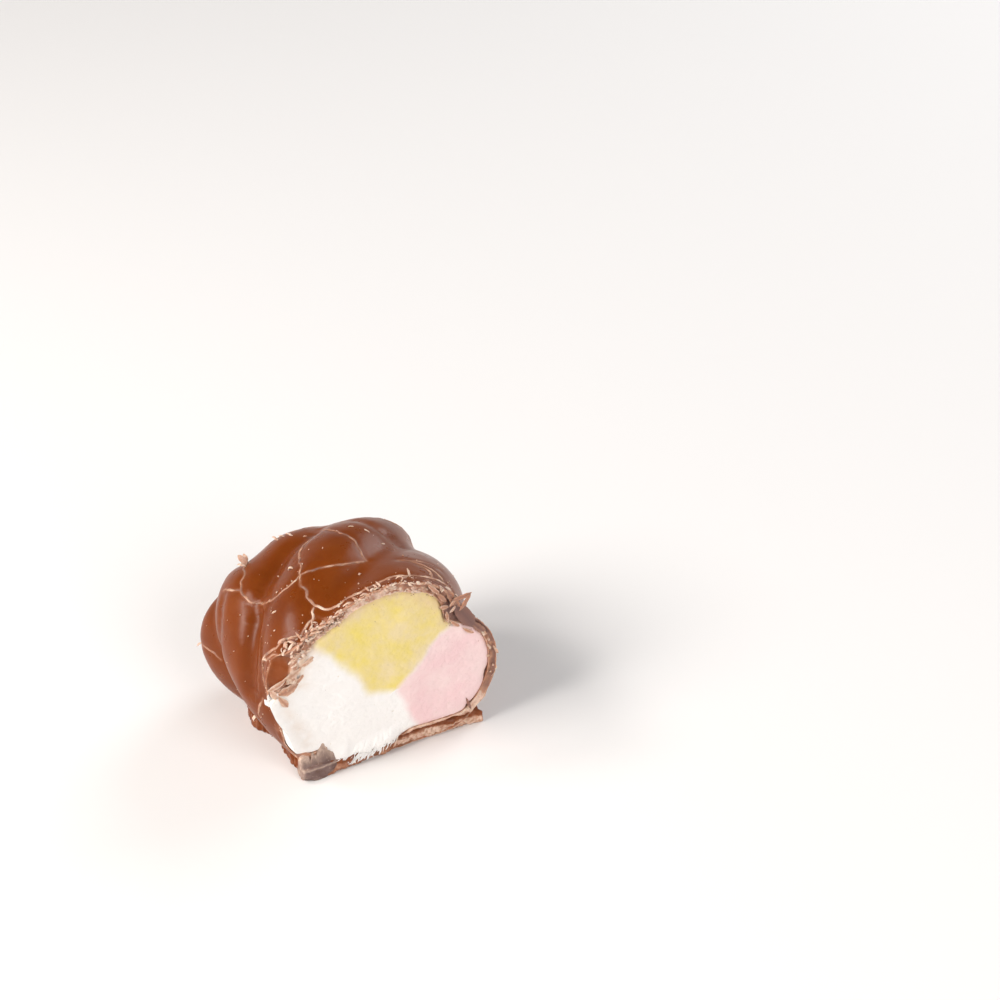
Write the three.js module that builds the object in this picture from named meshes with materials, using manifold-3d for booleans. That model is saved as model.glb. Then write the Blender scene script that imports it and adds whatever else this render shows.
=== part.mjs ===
// Half of a chocolate-coated marshmallow twist. Four soft strands, one yellow, one pink and two white that
// have grown together, are twisted into a short rope, stand on a foot of chocolate and are coated all over.
// The piece is cut across, so the strands show inside their coat. Millimetres, +Z up: the cut faces -Y, and
// the origin is on the ground under the middle of the piece.
import * as THREE from 'three';
import { mergeVertices } from 'three/addons/utils/BufferGeometryUtils.js';
import Module from 'manifold-3d';

// Driving dimensions, in millimetres.
const CUT_Y = -9.17;              // the plane of the cut
const LENGTH = 19.2;              // from the cut to the rounded end
const COAT = 0.9;                 // thickness of the chocolate
const GAP = 0.3;                  // air between a strand and what it lies against
const PITCH = 50.6;               // length of one full turn of the rope
const AXIS_X = 0;                 // the rope's axis at the cut, across
const AXIS_Z = 10.0;              // and its height there
const AXIS_DROP = 1.0;            // how far the axis sinks towards the end
const AXIS_DRIFT = -0.65;         // how far it wanders sideways
const BLEND = 1.2;                // roundness of the groove between two strands
const SPREAD = 0.125;             // share by which the rope has sagged wider at its end

// The strands at the cut: the direction of each from the rope's axis in degrees, how far its middle is from
// the axis, and its own radius.
const STRANDS = [
  { at: 76, out: 3.1, radius: 8.6 },
  { at: 162, out: 4.7, radius: 7.3 },
  { at: 237, out: 4.0, radius: 7.8 },
  { at: 338, out: 4.3, radius: 8.6 },
];

// How the round rope is pressed out of round, and how squarely its end closes.
const WIDER = 1.03;
const LOWER_ABOVE = 0.95;
const DEEPER_BELOW = 1.03;
const END_SQUARENESS_X = 6.4;
const END_SQUARENESS_Z = 4.3;

// One strand has slumped where the rope ends: around this direction, in degrees, the end closes less squarely.
const SLUMP = { at: 122, width: 15, by: 1.15 };

// Places across the cut are measured from the rope's axis, and places along the rope from the cut.

// The foot: a plate with a broken edge under the rope, which is pressed flat just above the ground. Its
// outline from above starts at the left end of its front.
const PLATE = {
  thick: 1.3,
  ragged: 0.35,
  outline: [
    [-9.5, -0.3], [-5.5, -0.7], [-0.5, -0.4], [2.0, 0.0], [11.2, 0.0], [11.4, 4.0], [10.9, 10.0], [9.2, 14.4],
    [5.5, 16.9], [0.0, 17.4], [-5.5, 16.7], [-8.9, 14.2], [-10.3, 10.5], [-9.1, 7.0], [-8.9, 2.6],
  ],
};
const FOOT_LEVEL = 0.3;
const FOOT_ROUND = 0.8;

// The chocolate under the marshmallow: thin in the middle, thicker to each side.
const FLOOR = { middle: 0.9, right: 2.1, rightFrom: 0, rightTo: 3.6, left: 3.0, leftFrom: 4.4, leftTo: 7.2 };

// The lump of chocolate that stands at the left corner of the cut.
const LUMP = { x: -7.3, y: 0.1, z: 1.3, reachX: 2.3, reachY: 0.85, reachZ: 1.7 };

// Where the three colours meet on the cut, and the direction of each border from there in degrees.
const MEETING = { x: 1.5, z: 8.0 };
const BORDER = { yellowPink: 44, yellowWhite: 136, whitePink: 292 };

// Shavings that the knife has curled up lie on the coat along the rim, up to some way behind it.
const SHAVINGS = { count: 30, from: -12, to: 212, behind: 3.0, thick: 0.22, shortest: 1.1, longest: 2.6 };
const RIM_JAG = 0.35;             // unevenness of the broken rim along the rope

// Fineness of the facets.
const AROUND = 72;
const RINGS = 24;
const CORE_AROUND = 60;
const CORE_RINGS = 18;
const PLATE_STEP = 2.0;
const WEDGE_STEP = 0.8;
const WEDGE_REACH = 22;

const COLOURS = { chocolate: 0x7a3d1c, yellow: 0xeee08a, pink: 0xf2cdd2, white: 0xfaf6ef };

const wasm = await Module();
wasm.setup();

const { clamp, degToRad, euclideanModulo, lerp, radToDeg, smoothstep } = THREE.MathUtils;

// The larger of two values, with a rounded change from one to the other.
function smoothMax(a, b, round) {
  const h = clamp(0.5 + (0.5 * (a - b)) / round, 0, 1);
  return lerp(b, a, h) + round * h * (1 - h);
}

// A repeatable stream of numbers between 0 and 1.
function stream(seed) {
  let state = seed;
  return () => {
    state = (state * 16807) % 2147483647;
    return (state % 100000) / 100000;
  };
}

// ---- The twisted rope

const turnAt = (y) => (2 * Math.PI * (y - CUT_Y)) / PITCH;

// Distance from the rope's axis to its outside, before it is pressed out of round.
function ropeRadius(angle, y) {
  let radius = 0;
  for (const strand of STRANDS) {
    const off = angle - degToRad(strand.at) + turnAt(y);
    const reach = strand.out * Math.cos(off) + Math.sqrt(strand.radius ** 2 - (strand.out * Math.sin(off)) ** 2);
    radius = radius ? smoothMax(radius, reach, BLEND) : reach;
  }
  return radius;
}

// The rope's axis where a share of its length is passed.
const axisAt = (share) => ({ x: AXIS_X + AXIS_DRIFT * share, z: AXIS_Z - AXIS_DROP * share ** 2 });

// How far the section is still open there, from 1 at the cut to 0 at the very end.
const openness = (share, squareness) => (1 - share ** squareness) ** (1 / squareness);

// How squarely the end closes from above, in one direction from the axis.
function squarenessAbove(angle) {
  const off = euclideanModulo(radToDeg(angle) - SLUMP.at + 180, 360) - 180;
  return END_SQUARENESS_Z - SLUMP.by * Math.exp(-((off / SLUMP.width) ** 2));
}

// A point of the rope's surface, moved inwards by a depth.
function ropePoint(angle, share, depth, floor) {
  const y = CUT_Y + (LENGTH - depth) * share;
  const axis = axisAt(share);
  const radius = ropeRadius(angle, y) - depth;
  const wide = WIDER * (1 + SPREAD * share);
  const tall = Math.sin(angle) > 0 ? LOWER_ABOVE : DEEPER_BELOW;
  const x = axis.x + radius * Math.cos(angle) * wide * openness(share, END_SQUARENESS_X);
  const z = axis.z + radius * Math.sin(angle) * tall * openness(share, squarenessAbove(angle));
  return new THREE.Vector3(x, y, smoothMax(z, floor(x), FOOT_ROUND));
}

// A closed body from rings of equal length, each end filled by a fan to its own middle point. Between two
// rings each face is split along one diagonal, and one column can ask for the other diagonal.
function loft(rings, frontMiddle, backMiddle, otherDiagonal = -1) {
  const positions = [];
  const triangle = (a, b, c) => positions.push(...a.toArray(), ...b.toArray(), ...c.toArray());
  const count = rings[0].length;
  for (let i = 0; i < count; i += 1) {
    const j = (i + 1) % count;
    triangle(frontMiddle, rings[0][i], rings[0][j]);
    triangle(backMiddle, rings.at(-1)[j], rings.at(-1)[i]);
    for (let k = 0; k + 1 < rings.length; k += 1) {
      const [near, nearNext, far, farNext] = [rings[k][i], rings[k][j], rings[k + 1][i], rings[k + 1][j]];
      if (i === otherDiagonal) {
        triangle(near, far, nearNext);
        triangle(nearNext, far, farNext);
      } else {
        triangle(near, far, farNext);
        triangle(near, farNext, nearNext);
      }
    }
  }
  const geometry = new THREE.BufferGeometry();
  geometry.setAttribute('position', new THREE.Float32BufferAttribute(positions, 3));
  return geometry;
}

// Rings are evenly spaced along the rope and draw together where its end rounds over.
const EVEN_SHARE = 0.7;
const EVEN_RINGS = 0.55;

function shareOfRing(k, count) {
  const done = k / count;
  if (done < EVEN_RINGS) return (EVEN_SHARE * done) / EVEN_RINGS;
  const rest = (done - EVEN_RINGS) / (1 - EVEN_RINGS);
  return EVEN_SHARE + (1 - EVEN_SHARE) * Math.sin((rest * Math.PI) / 2);
}

// The rope as a body. Its front can be moved: forwards to cut a hollow open, or unevenly as a broken rim.
function ropeBody({ around, rings, depth, floor, front }) {
  const list = [];
  for (let k = 0; k < rings; k += 1) {
    const ring = [];
    for (let i = 0; i < around; i += 1) {
      const angle = (2 * Math.PI * i) / around;
      const point = ropePoint(angle, shareOfRing(k, rings), depth, floor);
      if (k === 0) point.y += front(angle);
      ring.push(point);
    }
    list.push(ring);
  }
  const start = axisAt(0);
  const end = axisAt(1);
  const frontMiddle = new THREE.Vector3(start.x, CUT_Y + front(0), start.z);
  const backMiddle = new THREE.Vector3(end.x, CUT_Y + LENGTH - depth, end.z);
  return loft(list, frontMiddle, backMiddle);
}

// ---- From geometry to solid, and from solid to mesh

function bareGeometry(geometry) {
  const bare = geometry.index ? geometry.toNonIndexed() : geometry.clone();
  bare.deleteAttribute('normal');
  bare.deleteAttribute('uv');
  return mergeVertices(bare, 1e-4);
}

function toSolid(geometry) {
  const merged = bareGeometry(geometry);
  const mesh = new wasm.Mesh({
    numProp: 3,
    vertProperties: new Float32Array(merged.attributes.position.array),
    triVerts: new Uint32Array(merged.index.array),
  });
  return new wasm.Manifold(mesh);
}

function toMesh(name, solid, color, roughness) {
  const { vertProperties, triVerts } = solid.getMesh();
  const geometry = new THREE.BufferGeometry();
  geometry.setAttribute('position', new THREE.BufferAttribute(new Float32Array(vertProperties), 3));
  geometry.setIndex(new THREE.BufferAttribute(new Uint32Array(triVerts), 1));
  geometry.computeVertexNormals();
  const mesh = new THREE.Mesh(geometry, new THREE.MeshStandardMaterial({ color, roughness, metalness: 0 }));
  mesh.name = name;
  return mesh;
}

// ---- The coat

const footLevel = () => FOOT_LEVEL;

function floorHeight(x) {
  const across = x - AXIS_X;
  const toRight = smoothstep(across, FLOOR.rightFrom, FLOOR.rightTo);
  const toLeft = smoothstep(-across, FLOOR.leftFrom, FLOOR.leftTo);
  return FLOOR.middle + (FLOOR.right - FLOOR.middle) * toRight + (FLOOR.left - FLOOR.middle) * toLeft;
}

// The broken rim comes forward and falls back unevenly around the cut.
function rimJag(angle) {
  const coarse = Math.sin(7 * angle + 1) * Math.sin(3 * angle);
  const fine = Math.sin(17 * angle + 2);
  return (RIM_JAG * (coarse + fine)) / 2;
}

// The plate, with its outline broken into short edges of uneven direction.
function plateGeometry() {
  const random = stream(3);
  const corners = PLATE.outline.map(([x, y]) => new THREE.Vector2(AXIS_X + x, CUT_Y + y));
  const broken = [];
  corners.forEach((corner, i) => {
    const next = corners[(i + 1) % corners.length];
    const parts = Math.ceil(corner.distanceTo(next) / PLATE_STEP);
    for (let k = 0; k < parts; k += 1) {
      const inwards = new THREE.Vector2(corner.y - next.y, next.x - corner.x).normalize();
      const spot = corner.clone().lerp(next, k / parts);
      broken.push(spot.addScaledVector(inwards, PLATE.ragged * random()));
    }
  });
  return new THREE.ExtrudeGeometry(new THREE.Shape(broken), { depth: PLATE.thick, bevelEnabled: false });
}

// A rough lump: a ball of facets with each corner moved a little, and none of them below the ground.
function lumpGeometry() {
  const random = stream(5);
  const ball = bareGeometry(new THREE.IcosahedronGeometry(1, 1));
  const corner = ball.attributes.position;
  for (let i = 0; i < corner.count; i += 1) {
    const rough = lerp(0.8, 1.1, random());
    const x = AXIS_X + LUMP.x + corner.getX(i) * LUMP.reachX * rough;
    const y = CUT_Y + LUMP.y + corner.getY(i) * LUMP.reachY * rough;
    const z = LUMP.z + corner.getZ(i) * LUMP.reachZ * rough;
    corner.setXYZ(i, x, y, Math.max(z, 0.1));
  }
  return ball;
}

// One shaving: a curled sliver that is thickest in its middle, as wide as its extrusion is deep.
function shavingGeometry(length, curl, width) {
  const sliver = new THREE.Shape();
  sliver.moveTo(-length / 2, 0);
  sliver.quadraticCurveTo(0, 2 * curl + 2 * SHAVINGS.thick, length / 2, 0);
  sliver.quadraticCurveTo(0, 2 * curl - 2 * SHAVINGS.thick, -length / 2, 0);
  const strip = new THREE.ExtrudeGeometry(sliver, { depth: width, bevelEnabled: false, curveSegments: 3 });
  return strip.translate(0, 0, -width / 2);
}

// The shavings along the rim, each sunk a little into the coat and turned its own way.
function shavingSolids() {
  const random = stream(11);
  const sunk = 0.15;
  const solids = [];
  for (let i = 0; i < SHAVINGS.count; i += 1) {
    const angle = degToRad(lerp(SHAVINGS.from, SHAVINGS.to, (i + random()) / SHAVINGS.count));
    const share = (0.3 + SHAVINGS.behind * random() ** 2) / LENGTH;
    const spot = ropePoint(angle, share, sunk, footLevel);
    const ahead = ropePoint(angle + 0.05, share, sunk, footLevel).sub(spot).normalize();
    const along = new THREE.Vector3(0, 1, 0);
    const outwards = new THREE.Vector3().crossVectors(along, ahead).normalize();
    const length = lerp(SHAVINGS.shortest, SHAVINGS.longest, random());
    const shaving = shavingGeometry(length, lerp(0.05, 0.35, random()), lerp(0.4, 0.9, random()));
    shaving.rotateY(lerp(-0.8, 0.8, random()));
    shaving.applyMatrix4(new THREE.Matrix4().makeBasis(ahead, outwards, along));
    solids.push(toSolid(shaving.translate(spot.x, spot.y, spot.z)));
  }
  return solids;
}

function coatSolid() {
  const outside = toSolid(ropeBody({
    around: AROUND, rings: RINGS, depth: 0, floor: footLevel, front: rimJag,
  }));
  const hollow = toSolid(ropeBody({
    around: CORE_AROUND, rings: CORE_RINGS, depth: COAT, floor: floorHeight, front: () => -2,
  }));
  let coat = outside.add(toSolid(plateGeometry())).add(toSolid(lumpGeometry()));
  for (const shaving of shavingSolids()) coat = coat.add(shaving);
  return coat.subtract(hollow);
}

// ---- The marshmallow

// The twisted wedge between two borders, drawn in by half a gap on both sides. Both sides are split from the
// tip outwards, so that neighbours follow each other closely.
function wedgeGeometry(fromDegrees, toDegrees) {
  const half = degToRad(toDegrees - fromDegrees) / 2;
  const middle = degToRad(fromDegrees) + half;
  const inset = GAP / 2 / Math.sin(half);
  const fromAxis = { x: MEETING.x, z: MEETING.z - AXIS_Z };
  const steps = Math.ceil((LENGTH + 2) / WEDGE_STEP);
  const rings = [];
  const middles = [];
  for (let k = 0; k <= steps; k += 1) {
    const y = CUT_Y - 1 + k * WEDGE_STEP;
    const axis = axisAt(clamp((y - CUT_Y) / LENGTH, 0, 1));
    const turn = -turnAt(y);
    const tip = {
      x: axis.x + fromAxis.x * Math.cos(turn) - fromAxis.z * Math.sin(turn) + Math.cos(middle + turn) * inset,
      z: axis.z + fromAxis.x * Math.sin(turn) + fromAxis.z * Math.cos(turn) + Math.sin(middle + turn) * inset,
    };
    const at = (angle, reach) => new THREE.Vector3(
      tip.x + Math.cos(angle + turn) * reach,
      y,
      tip.z + Math.sin(angle + turn) * reach,
    );
    const corners = [-half, -half / 3, half / 3, half].map((off) => at(middle + off, WEDGE_REACH));
    rings.push([at(middle, 0), ...corners]);
    middles.push(at(middle, WEDGE_REACH / 3));
  }
  return loft(rings, middles[0], middles.at(-1), rings[0].length - 1);
}

const core = toSolid(ropeBody({
  around: CORE_AROUND, rings: CORE_RINGS, depth: COAT + GAP, floor: (x) => floorHeight(x) + GAP, front: () => 0,
}));

const strand = (fromDegrees, toDegrees) => core.intersect(toSolid(wedgeGeometry(fromDegrees, toDegrees)));

// ---- The whole piece

const twist = new THREE.Group();
twist.add(
  toMesh('chocolate_coat', coatSolid(), COLOURS.chocolate, 0.4),
  toMesh('marshmallow_yellow', strand(BORDER.yellowPink, BORDER.yellowWhite), COLOURS.yellow, 0.9),
  toMesh('marshmallow_pink', strand(BORDER.whitePink - 360, BORDER.yellowPink), COLOURS.pink, 0.9),
  toMesh('marshmallow_white', strand(BORDER.yellowWhite, BORDER.whitePink), COLOURS.white, 0.9),
);

export default twist;
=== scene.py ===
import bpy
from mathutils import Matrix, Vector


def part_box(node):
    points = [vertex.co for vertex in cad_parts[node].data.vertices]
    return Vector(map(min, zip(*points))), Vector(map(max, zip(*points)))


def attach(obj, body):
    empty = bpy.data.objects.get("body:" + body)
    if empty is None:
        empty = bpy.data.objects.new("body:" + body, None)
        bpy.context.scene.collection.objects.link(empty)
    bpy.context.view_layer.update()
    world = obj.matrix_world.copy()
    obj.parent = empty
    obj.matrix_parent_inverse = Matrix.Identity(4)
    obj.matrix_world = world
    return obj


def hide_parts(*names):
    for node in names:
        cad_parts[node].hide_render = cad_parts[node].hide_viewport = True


bl_info = {
    "name": "Coated Marshmallow Twist",
    "version": (1, 0, 0),
    "blender": (4, 5, 0),
    "location": "View3D > Sidebar > Sweets",
    "description": "Half of a chocolate-coated marshmallow twist, cut across, with its strands and shavings",
    "category": "Object",
}

import math

import bpy
import numpy as np
from bpy.props import FloatProperty, FloatVectorProperty, IntProperty, PointerProperty
from mathutils import Matrix, Vector
from mathutils.kdtree import KDTree

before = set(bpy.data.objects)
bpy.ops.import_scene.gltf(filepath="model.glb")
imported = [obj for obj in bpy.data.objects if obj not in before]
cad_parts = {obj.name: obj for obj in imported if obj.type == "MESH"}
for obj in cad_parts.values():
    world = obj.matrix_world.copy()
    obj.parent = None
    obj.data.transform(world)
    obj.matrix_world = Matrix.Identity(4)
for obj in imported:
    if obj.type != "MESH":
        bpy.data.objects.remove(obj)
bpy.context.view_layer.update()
COAT_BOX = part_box("chocolate_coat")
STRAND_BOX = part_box("marshmallow_white")

# Shapes are worked out in millimetres and become metres when a mesh is made.
MM = 0.001
CUT_Y = STRAND_BOX[0].y / MM
ROPE_LENGTH = COAT_BOX[1].y / MM - CUT_Y


# ---------------------------------------------------------------- settings

def length_setting(name, description, millimetres, least, most):
    return FloatProperty(
        name=name, description=description, default=millimetres * MM, min=least * MM, max=most * MM,
        unit="LENGTH", precision=5)


def count_setting(name, description, default, most):
    return IntProperty(name=name, description=description, default=default, min=0, max=most)


def colour_setting(name, description, default):
    return FloatVectorProperty(
        name=name, description=description, default=default, subtype="COLOR", size=3, min=0, max=1)


class TwistShapeSettings(bpy.types.PropertyGroup):
    """Sizes of the twisted rope and its coat."""

    pitch: length_setting("Pitch", "Length of one full turn of the rope", 50.6, 20, 200)
    coat: length_setting("Coat", "Thickness of the chocolate coat", 0.9, 0.3, 3)
    groove: length_setting("Groove rounding", "Roundness of the groove between two strands", 1.2, 0.2, 4)
    foot: length_setting("Foot", "Thickness of the chocolate foot", 1.45, 0.5, 4)
    shavings: count_setting("Shavings", "Number of curled shavings along the rim", 340, 900)
    crumbs: count_setting("Crumbs", "Number of crumbs on the coat", 160, 600)
    fibres: count_setting("Torn fibres", "Number of torn tufts along the lower edge of the cut", 110, 300)


class TwistColourSettings(bpy.types.PropertyGroup):
    """Colours of the chocolate and of the three kinds of strand."""

    chocolate: colour_setting("Chocolate", "The coat's smooth outside", (0.185, 0.0385, 0.0045))
    broken: colour_setting("Broken chocolate", "Freshly broken chocolate", (0.47, 0.225, 0.135))
    scraped: colour_setting("Scraped chocolate", "The palest shavings and scraped edges", (0.82, 0.60, 0.47))
    bloomed: colour_setting("Bloomed chocolate", "Dull grey-brown broken faces", (0.19, 0.113, 0.099))
    yellow: colour_setting("Yellow strand", "Yellow marshmallow", (0.815, 0.665, 0.285))
    pink: colour_setting("Pink strand", "Pink marshmallow", (0.885, 0.64, 0.63))
    white: colour_setting("White strand", "White marshmallow", (0.905, 0.872, 0.845))


class TwistStageSettings(bpy.types.PropertyGroup):
    """Camera, floor and lights."""

    camera_place: FloatVectorProperty(
        name="Camera", description="Where the camera stands, measured from the foot of the cut",
        subtype="TRANSLATION", unit="LENGTH", size=3, default=(-78.27 * MM, -184.78 * MM, 172.07 * MM))
    azimuth: FloatProperty(
        name="Azimuth", description="Turn of the camera about the vertical", subtype="ANGLE",
        default=math.radians(-26.37))
    elevation: FloatProperty(
        name="Elevation", description="Height of the camera over the horizon, as an angle", subtype="ANGLE",
        default=math.radians(35.0))
    lens: FloatProperty(
        name="Lens", description="Focal length on a 36 mm sensor", default=91.8, min=20, max=300)
    key_power: FloatProperty(
        name="Key light", description="Power of the large soft light on the left", default=2.1, min=0,
        unit="POWER")
    fill_power: FloatProperty(
        name="Fill lights", description="Power of the light on the right and of the front one", default=0.93,
        min=0, unit="POWER")
    surround: FloatProperty(
        name="Surround", description="Brightness of the white studio around the piece", default=0.81, min=0)
    ceiling: FloatProperty(
        name="Ceiling", description="Brightness of the studio overhead, as a share of the surround",
        default=0.06, min=0, max=1)
    floor: colour_setting("Floor", "Colour of the floor", (0.855, 0.832, 0.818))


# ---------------------------------------------------------------- the rope's form

# The strands at the cut: direction from the rope's axis in degrees, distance of the strand's middle from the
# axis, and the strand's own radius.
STRANDS = ((76, 3.1, 8.6), (162, 4.7, 7.3), (237, 4.0, 7.8), (338, 4.3, 8.6))
# The axis: its height at the cut, and how far it sinks and wanders sideways up to the end.
AXIS_Z = 10.0
AXIS_DROP = 1.0
AXIS_DRIFT = -0.65
# How the round rope is pressed out of round, and how squarely its end closes.
SPREAD = 0.125
WIDER = 1.03
LOWER_ABOVE = 0.95
DEEPER_BELOW = 1.03
END_SQUARENESS_X = 6.4
END_SQUARENESS_Z = 4.3
# One strand has slumped at the end: around this direction, in degrees, the end closes less squarely.
SLUMP_AT, SLUMP_WIDTH, SLUMP_BY = 122, 15, 1.15
FOOT_LEVEL = 0.3
FOOT_ROUND = 0.8

# The chocolate under the marshmallow, thin in the middle and thicker to each side: heights, and where across
# the cut it rises on each side.
FLOOR_MIDDLE, FLOOR_RIGHT, FLOOR_LEFT = 0.9, 2.1, 3.0
RISE_RIGHT, RISE_LEFT = (0.0, 3.6), (4.4, 7.2)

# Where the three colours meet on the cut, and the direction of each border from there in degrees.
MEETING = (1.5, 8.0)
PINK_YELLOW, YELLOW_WHITE, WHITE_PINK = 44, 136, 292


def smooth_max(a, b, rounding):
    share = np.clip(0.5 + 0.5 * (a - b) / rounding, 0.0, 1.0)
    return b * (1 - share) + a * share + rounding * share * (1 - share)


def smooth_step(x, start, end):
    t = np.clip((x - start) / (end - start), 0.0, 1.0)
    return t * t * (3 - 2 * t)


def between(x, start, risen, falling, end):
    """1 in a stretch, with a smooth change from 0 before it and back to 0 after it."""
    return smooth_step(x, start, risen) * (1 - smooth_step(x, falling, end))


def bell(off, width):
    return np.exp(-(off / width) ** 2)


def turn_between(angle, middle):
    """How far an angle is from another, from -180 to 180 degrees."""
    return (angle - middle + 180.0) % 360.0 - 180.0


def bump(angle, middle, width):
    """1 at a direction and falling away on both sides of it, all in degrees."""
    return bell(turn_between(angle, middle), width)


def bumps(angle, level, rows):
    """A level with a bump on it for each row of height, direction and width."""
    return level + sum(height * bump(angle, middle, width) for height, middle, width in rows)


def unit(vectors):
    return vectors / np.linalg.norm(vectors, axis=-1, keepdims=True)


def floor_height(x):
    right = smooth_step(x, *RISE_RIGHT)
    left = smooth_step(-x, *RISE_LEFT)
    return FLOOR_MIDDLE + (FLOOR_RIGHT - FLOOR_MIDDLE) * right + (FLOOR_LEFT - FLOOR_MIDDLE) * left


def foot_level(x):
    return np.full_like(x, FOOT_LEVEL)


class Rope:
    """The rope's surface in millimetres, from an angle about its axis and a distance behind the cut."""

    def __init__(self, shape):
        self.pitch = shape.pitch / MM
        self.coat = shape.coat / MM
        self.groove = shape.groove / MM

    def radius(self, angle, behind):
        turn = 2 * math.pi * behind / self.pitch
        total = None
        for at, out, radius in STRANDS:
            off = angle - math.radians(at) + turn
            reach = out * np.cos(off) + np.sqrt(radius ** 2 - (out * np.sin(off)) ** 2)
            total = reach if total is None else smooth_max(total, reach, self.groove)
        return total

    def point(self, angle, behind, depth=0.0, floor=foot_level):
        """A point of the surface, moved inwards by a depth. Angles and distances may be arrays."""
        angle, behind, depth = np.broadcast_arrays(
            np.asarray(angle, float), np.asarray(behind, float), np.asarray(depth, float))
        share = np.clip(behind / (ROPE_LENGTH - depth), 0.0, 1.0)
        radius = self.radius(angle, np.maximum(behind, 0.0)) - depth
        open_x = (1 - share ** END_SQUARENESS_X) ** (1 / END_SQUARENESS_X)
        square_z = END_SQUARENESS_Z - SLUMP_BY * bump(np.degrees(angle), SLUMP_AT, SLUMP_WIDTH)
        open_z = (1 - share ** square_z) ** (1 / square_z)
        tall = np.where(np.sin(angle) > 0, LOWER_ABOVE, DEEPER_BELOW)
        x = AXIS_DRIFT * share + radius * np.cos(angle) * WIDER * (1 + SPREAD * share) * open_x
        z = AXIS_Z - AXIS_DROP * share ** 2 + radius * np.sin(angle) * tall * open_z
        return np.stack([x, CUT_Y + behind, smooth_max(z, floor(x), FOOT_ROUND)], -1)

    def basis(self, angle, behind, depth=0.0):
        """(place, along the ring, outwards, along the rope) at points of the surface."""
        here = self.point(angle, behind, depth)
        ring = unit(self.point(np.asarray(angle) + 0.01, behind, depth) - here)
        length = self.point(angle, np.asarray(behind) + 0.05, depth) - here
        out = unit(np.cross(length, ring))
        return here, ring, out, np.cross(ring, out)


# ---------------------------------------------------------------- noise

def lattice_value(ix, iy, iz, seed):
    """A repeatable value from -1 to 1 for each point of a lattice."""
    h = (ix * 374761393 + iy * 668265263 + iz * 1274126177 + seed * 951274213) & 0xFFFFFFFF
    h = ((h ^ (h >> 13)) * 1274126177) & 0xFFFFFFFF
    h ^= h >> 16
    return (h & 0xFFFF) / 32767.5 - 1.0


def noise(points, size, seed):
    """Smooth noise from -1 to 1 at points, with lumps of about a size in millimetres."""
    scaled = np.asarray(points, float) / size + 1000.0
    cell = np.floor(scaled).astype(np.int64)
    part = scaled - cell
    part = part * part * (3 - 2 * part)
    total = np.zeros(scaled.shape[:-1])
    for corner in range(8):
        step = np.array([(corner >> k) & 1 for k in range(3)])
        weight = np.prod(np.where(step, part, 1 - part), axis=-1)
        total += weight * lattice_value(*np.moveaxis(cell + step, -1, 0), seed)
    return total


def cloud(points, size, seed, octaves=3):
    """Noise with finer and fainter noise on top."""
    return sum(noise(points, size / 2 ** k, seed + k) / 2 ** k for k in range(octaves))


# ---------------------------------------------------------------- meshes

def ring_faces(rings, around, closed=True):
    """Quads between rings of points that are numbered ring by ring."""
    k, i = np.meshgrid(np.arange(rings - 1), np.arange(around if closed else around - 1), indexing="ij")
    j = (i + 1) % around
    corners = [k * around + i, (k + 1) * around + i, (k + 1) * around + j, k * around + j]
    return np.stack(corners, -1).reshape(-1, 4)


def capped_rings(rings, first_pole, last_pole):
    """Points and faces of a body from closed rings, with a fan from the ring at each end to its pole."""
    around = len(rings[0])
    points = np.concatenate([*rings, [first_pole, last_pole]])
    pole = len(points) - 2
    faces = ring_faces(len(rings), around)[:, ::-1].tolist()
    for i in range(around):
        j = (i + 1) % around
        faces.append([j, i, pole])
        faces.append([pole - around + i, pole - around + j, pole + 1])
    return points, faces


def make_piece(name, points, faces, materials, nodes, face_materials=None, attributes=None):
    """A smooth mesh piece from points in millimetres, which rides on the part and stands for CAD nodes."""
    mesh = bpy.data.meshes.new(name)
    mesh.from_pydata((np.asarray(points, float) * MM).tolist(), [], [list(f) for f in faces])
    mesh.validate()
    for material in materials:
        mesh.materials.append(material)
    if face_materials is not None:
        mesh.polygons.foreach_set("material_index", np.asarray(face_materials, np.int32))
    for key, values in (attributes or {}).items():
        values = np.asarray(values, np.float32)
        if values.ndim == 1:
            mesh.attributes.new(key, "FLOAT", "POINT").data.foreach_set("value", values)
        else:
            mesh.attributes.new(key, "FLOAT_VECTOR", "POINT").data.foreach_set("vector", values.ravel())
    mesh.polygons.foreach_set("use_smooth", np.ones(len(mesh.polygons), bool))
    mesh.set_sharp_from_angle(angle=math.radians(50))
    piece = bpy.data.objects.new(name, mesh)
    bpy.context.scene.collection.objects.link(piece)
    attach(piece, "root")
    if nodes:
        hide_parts(*nodes)
    return piece


class Pile:
    """Collects many small solids into one mesh, each with its own shade."""

    def __init__(self):
        self.points, self.faces, self.shades, self.count = [], [], [], 0

    def add(self, points, faces, shade):
        self.points.append(points)
        self.faces.extend((np.asarray(f) + self.count).tolist() for f in faces)
        self.shades.append(np.broadcast_to(shade, len(points)))
        self.count += len(points)

    def piece(self, name, material, slot_name, nodes):
        return make_piece(
            name, np.concatenate(self.points), self.faces, [material], nodes,
            attributes={"shade": np.concatenate(self.shades)})


# ---------------------------------------------------------------- materials

# Chocolate smeared thinly onto the marshmallow, and the specks in it.
SMEARED = (0.68, 0.47, 0.31)
SPECKS = (0.62, 0.5, 0.34)


def new_material(name):
    material = bpy.data.materials.new(name)
    material.use_nodes = True
    tree = material.node_tree
    tree.nodes.clear()
    output = tree.nodes.new("ShaderNodeOutputMaterial")
    shader = tree.nodes.new("ShaderNodeBsdfPrincipled")
    tree.links.new(shader.outputs["BSDF"], output.inputs["Surface"])
    return material, tree, shader


def set_plain(node, values):
    """Plain values on a node's own sockets."""
    for socket, value in values.items():
        node.inputs[socket].default_value = value


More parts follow.
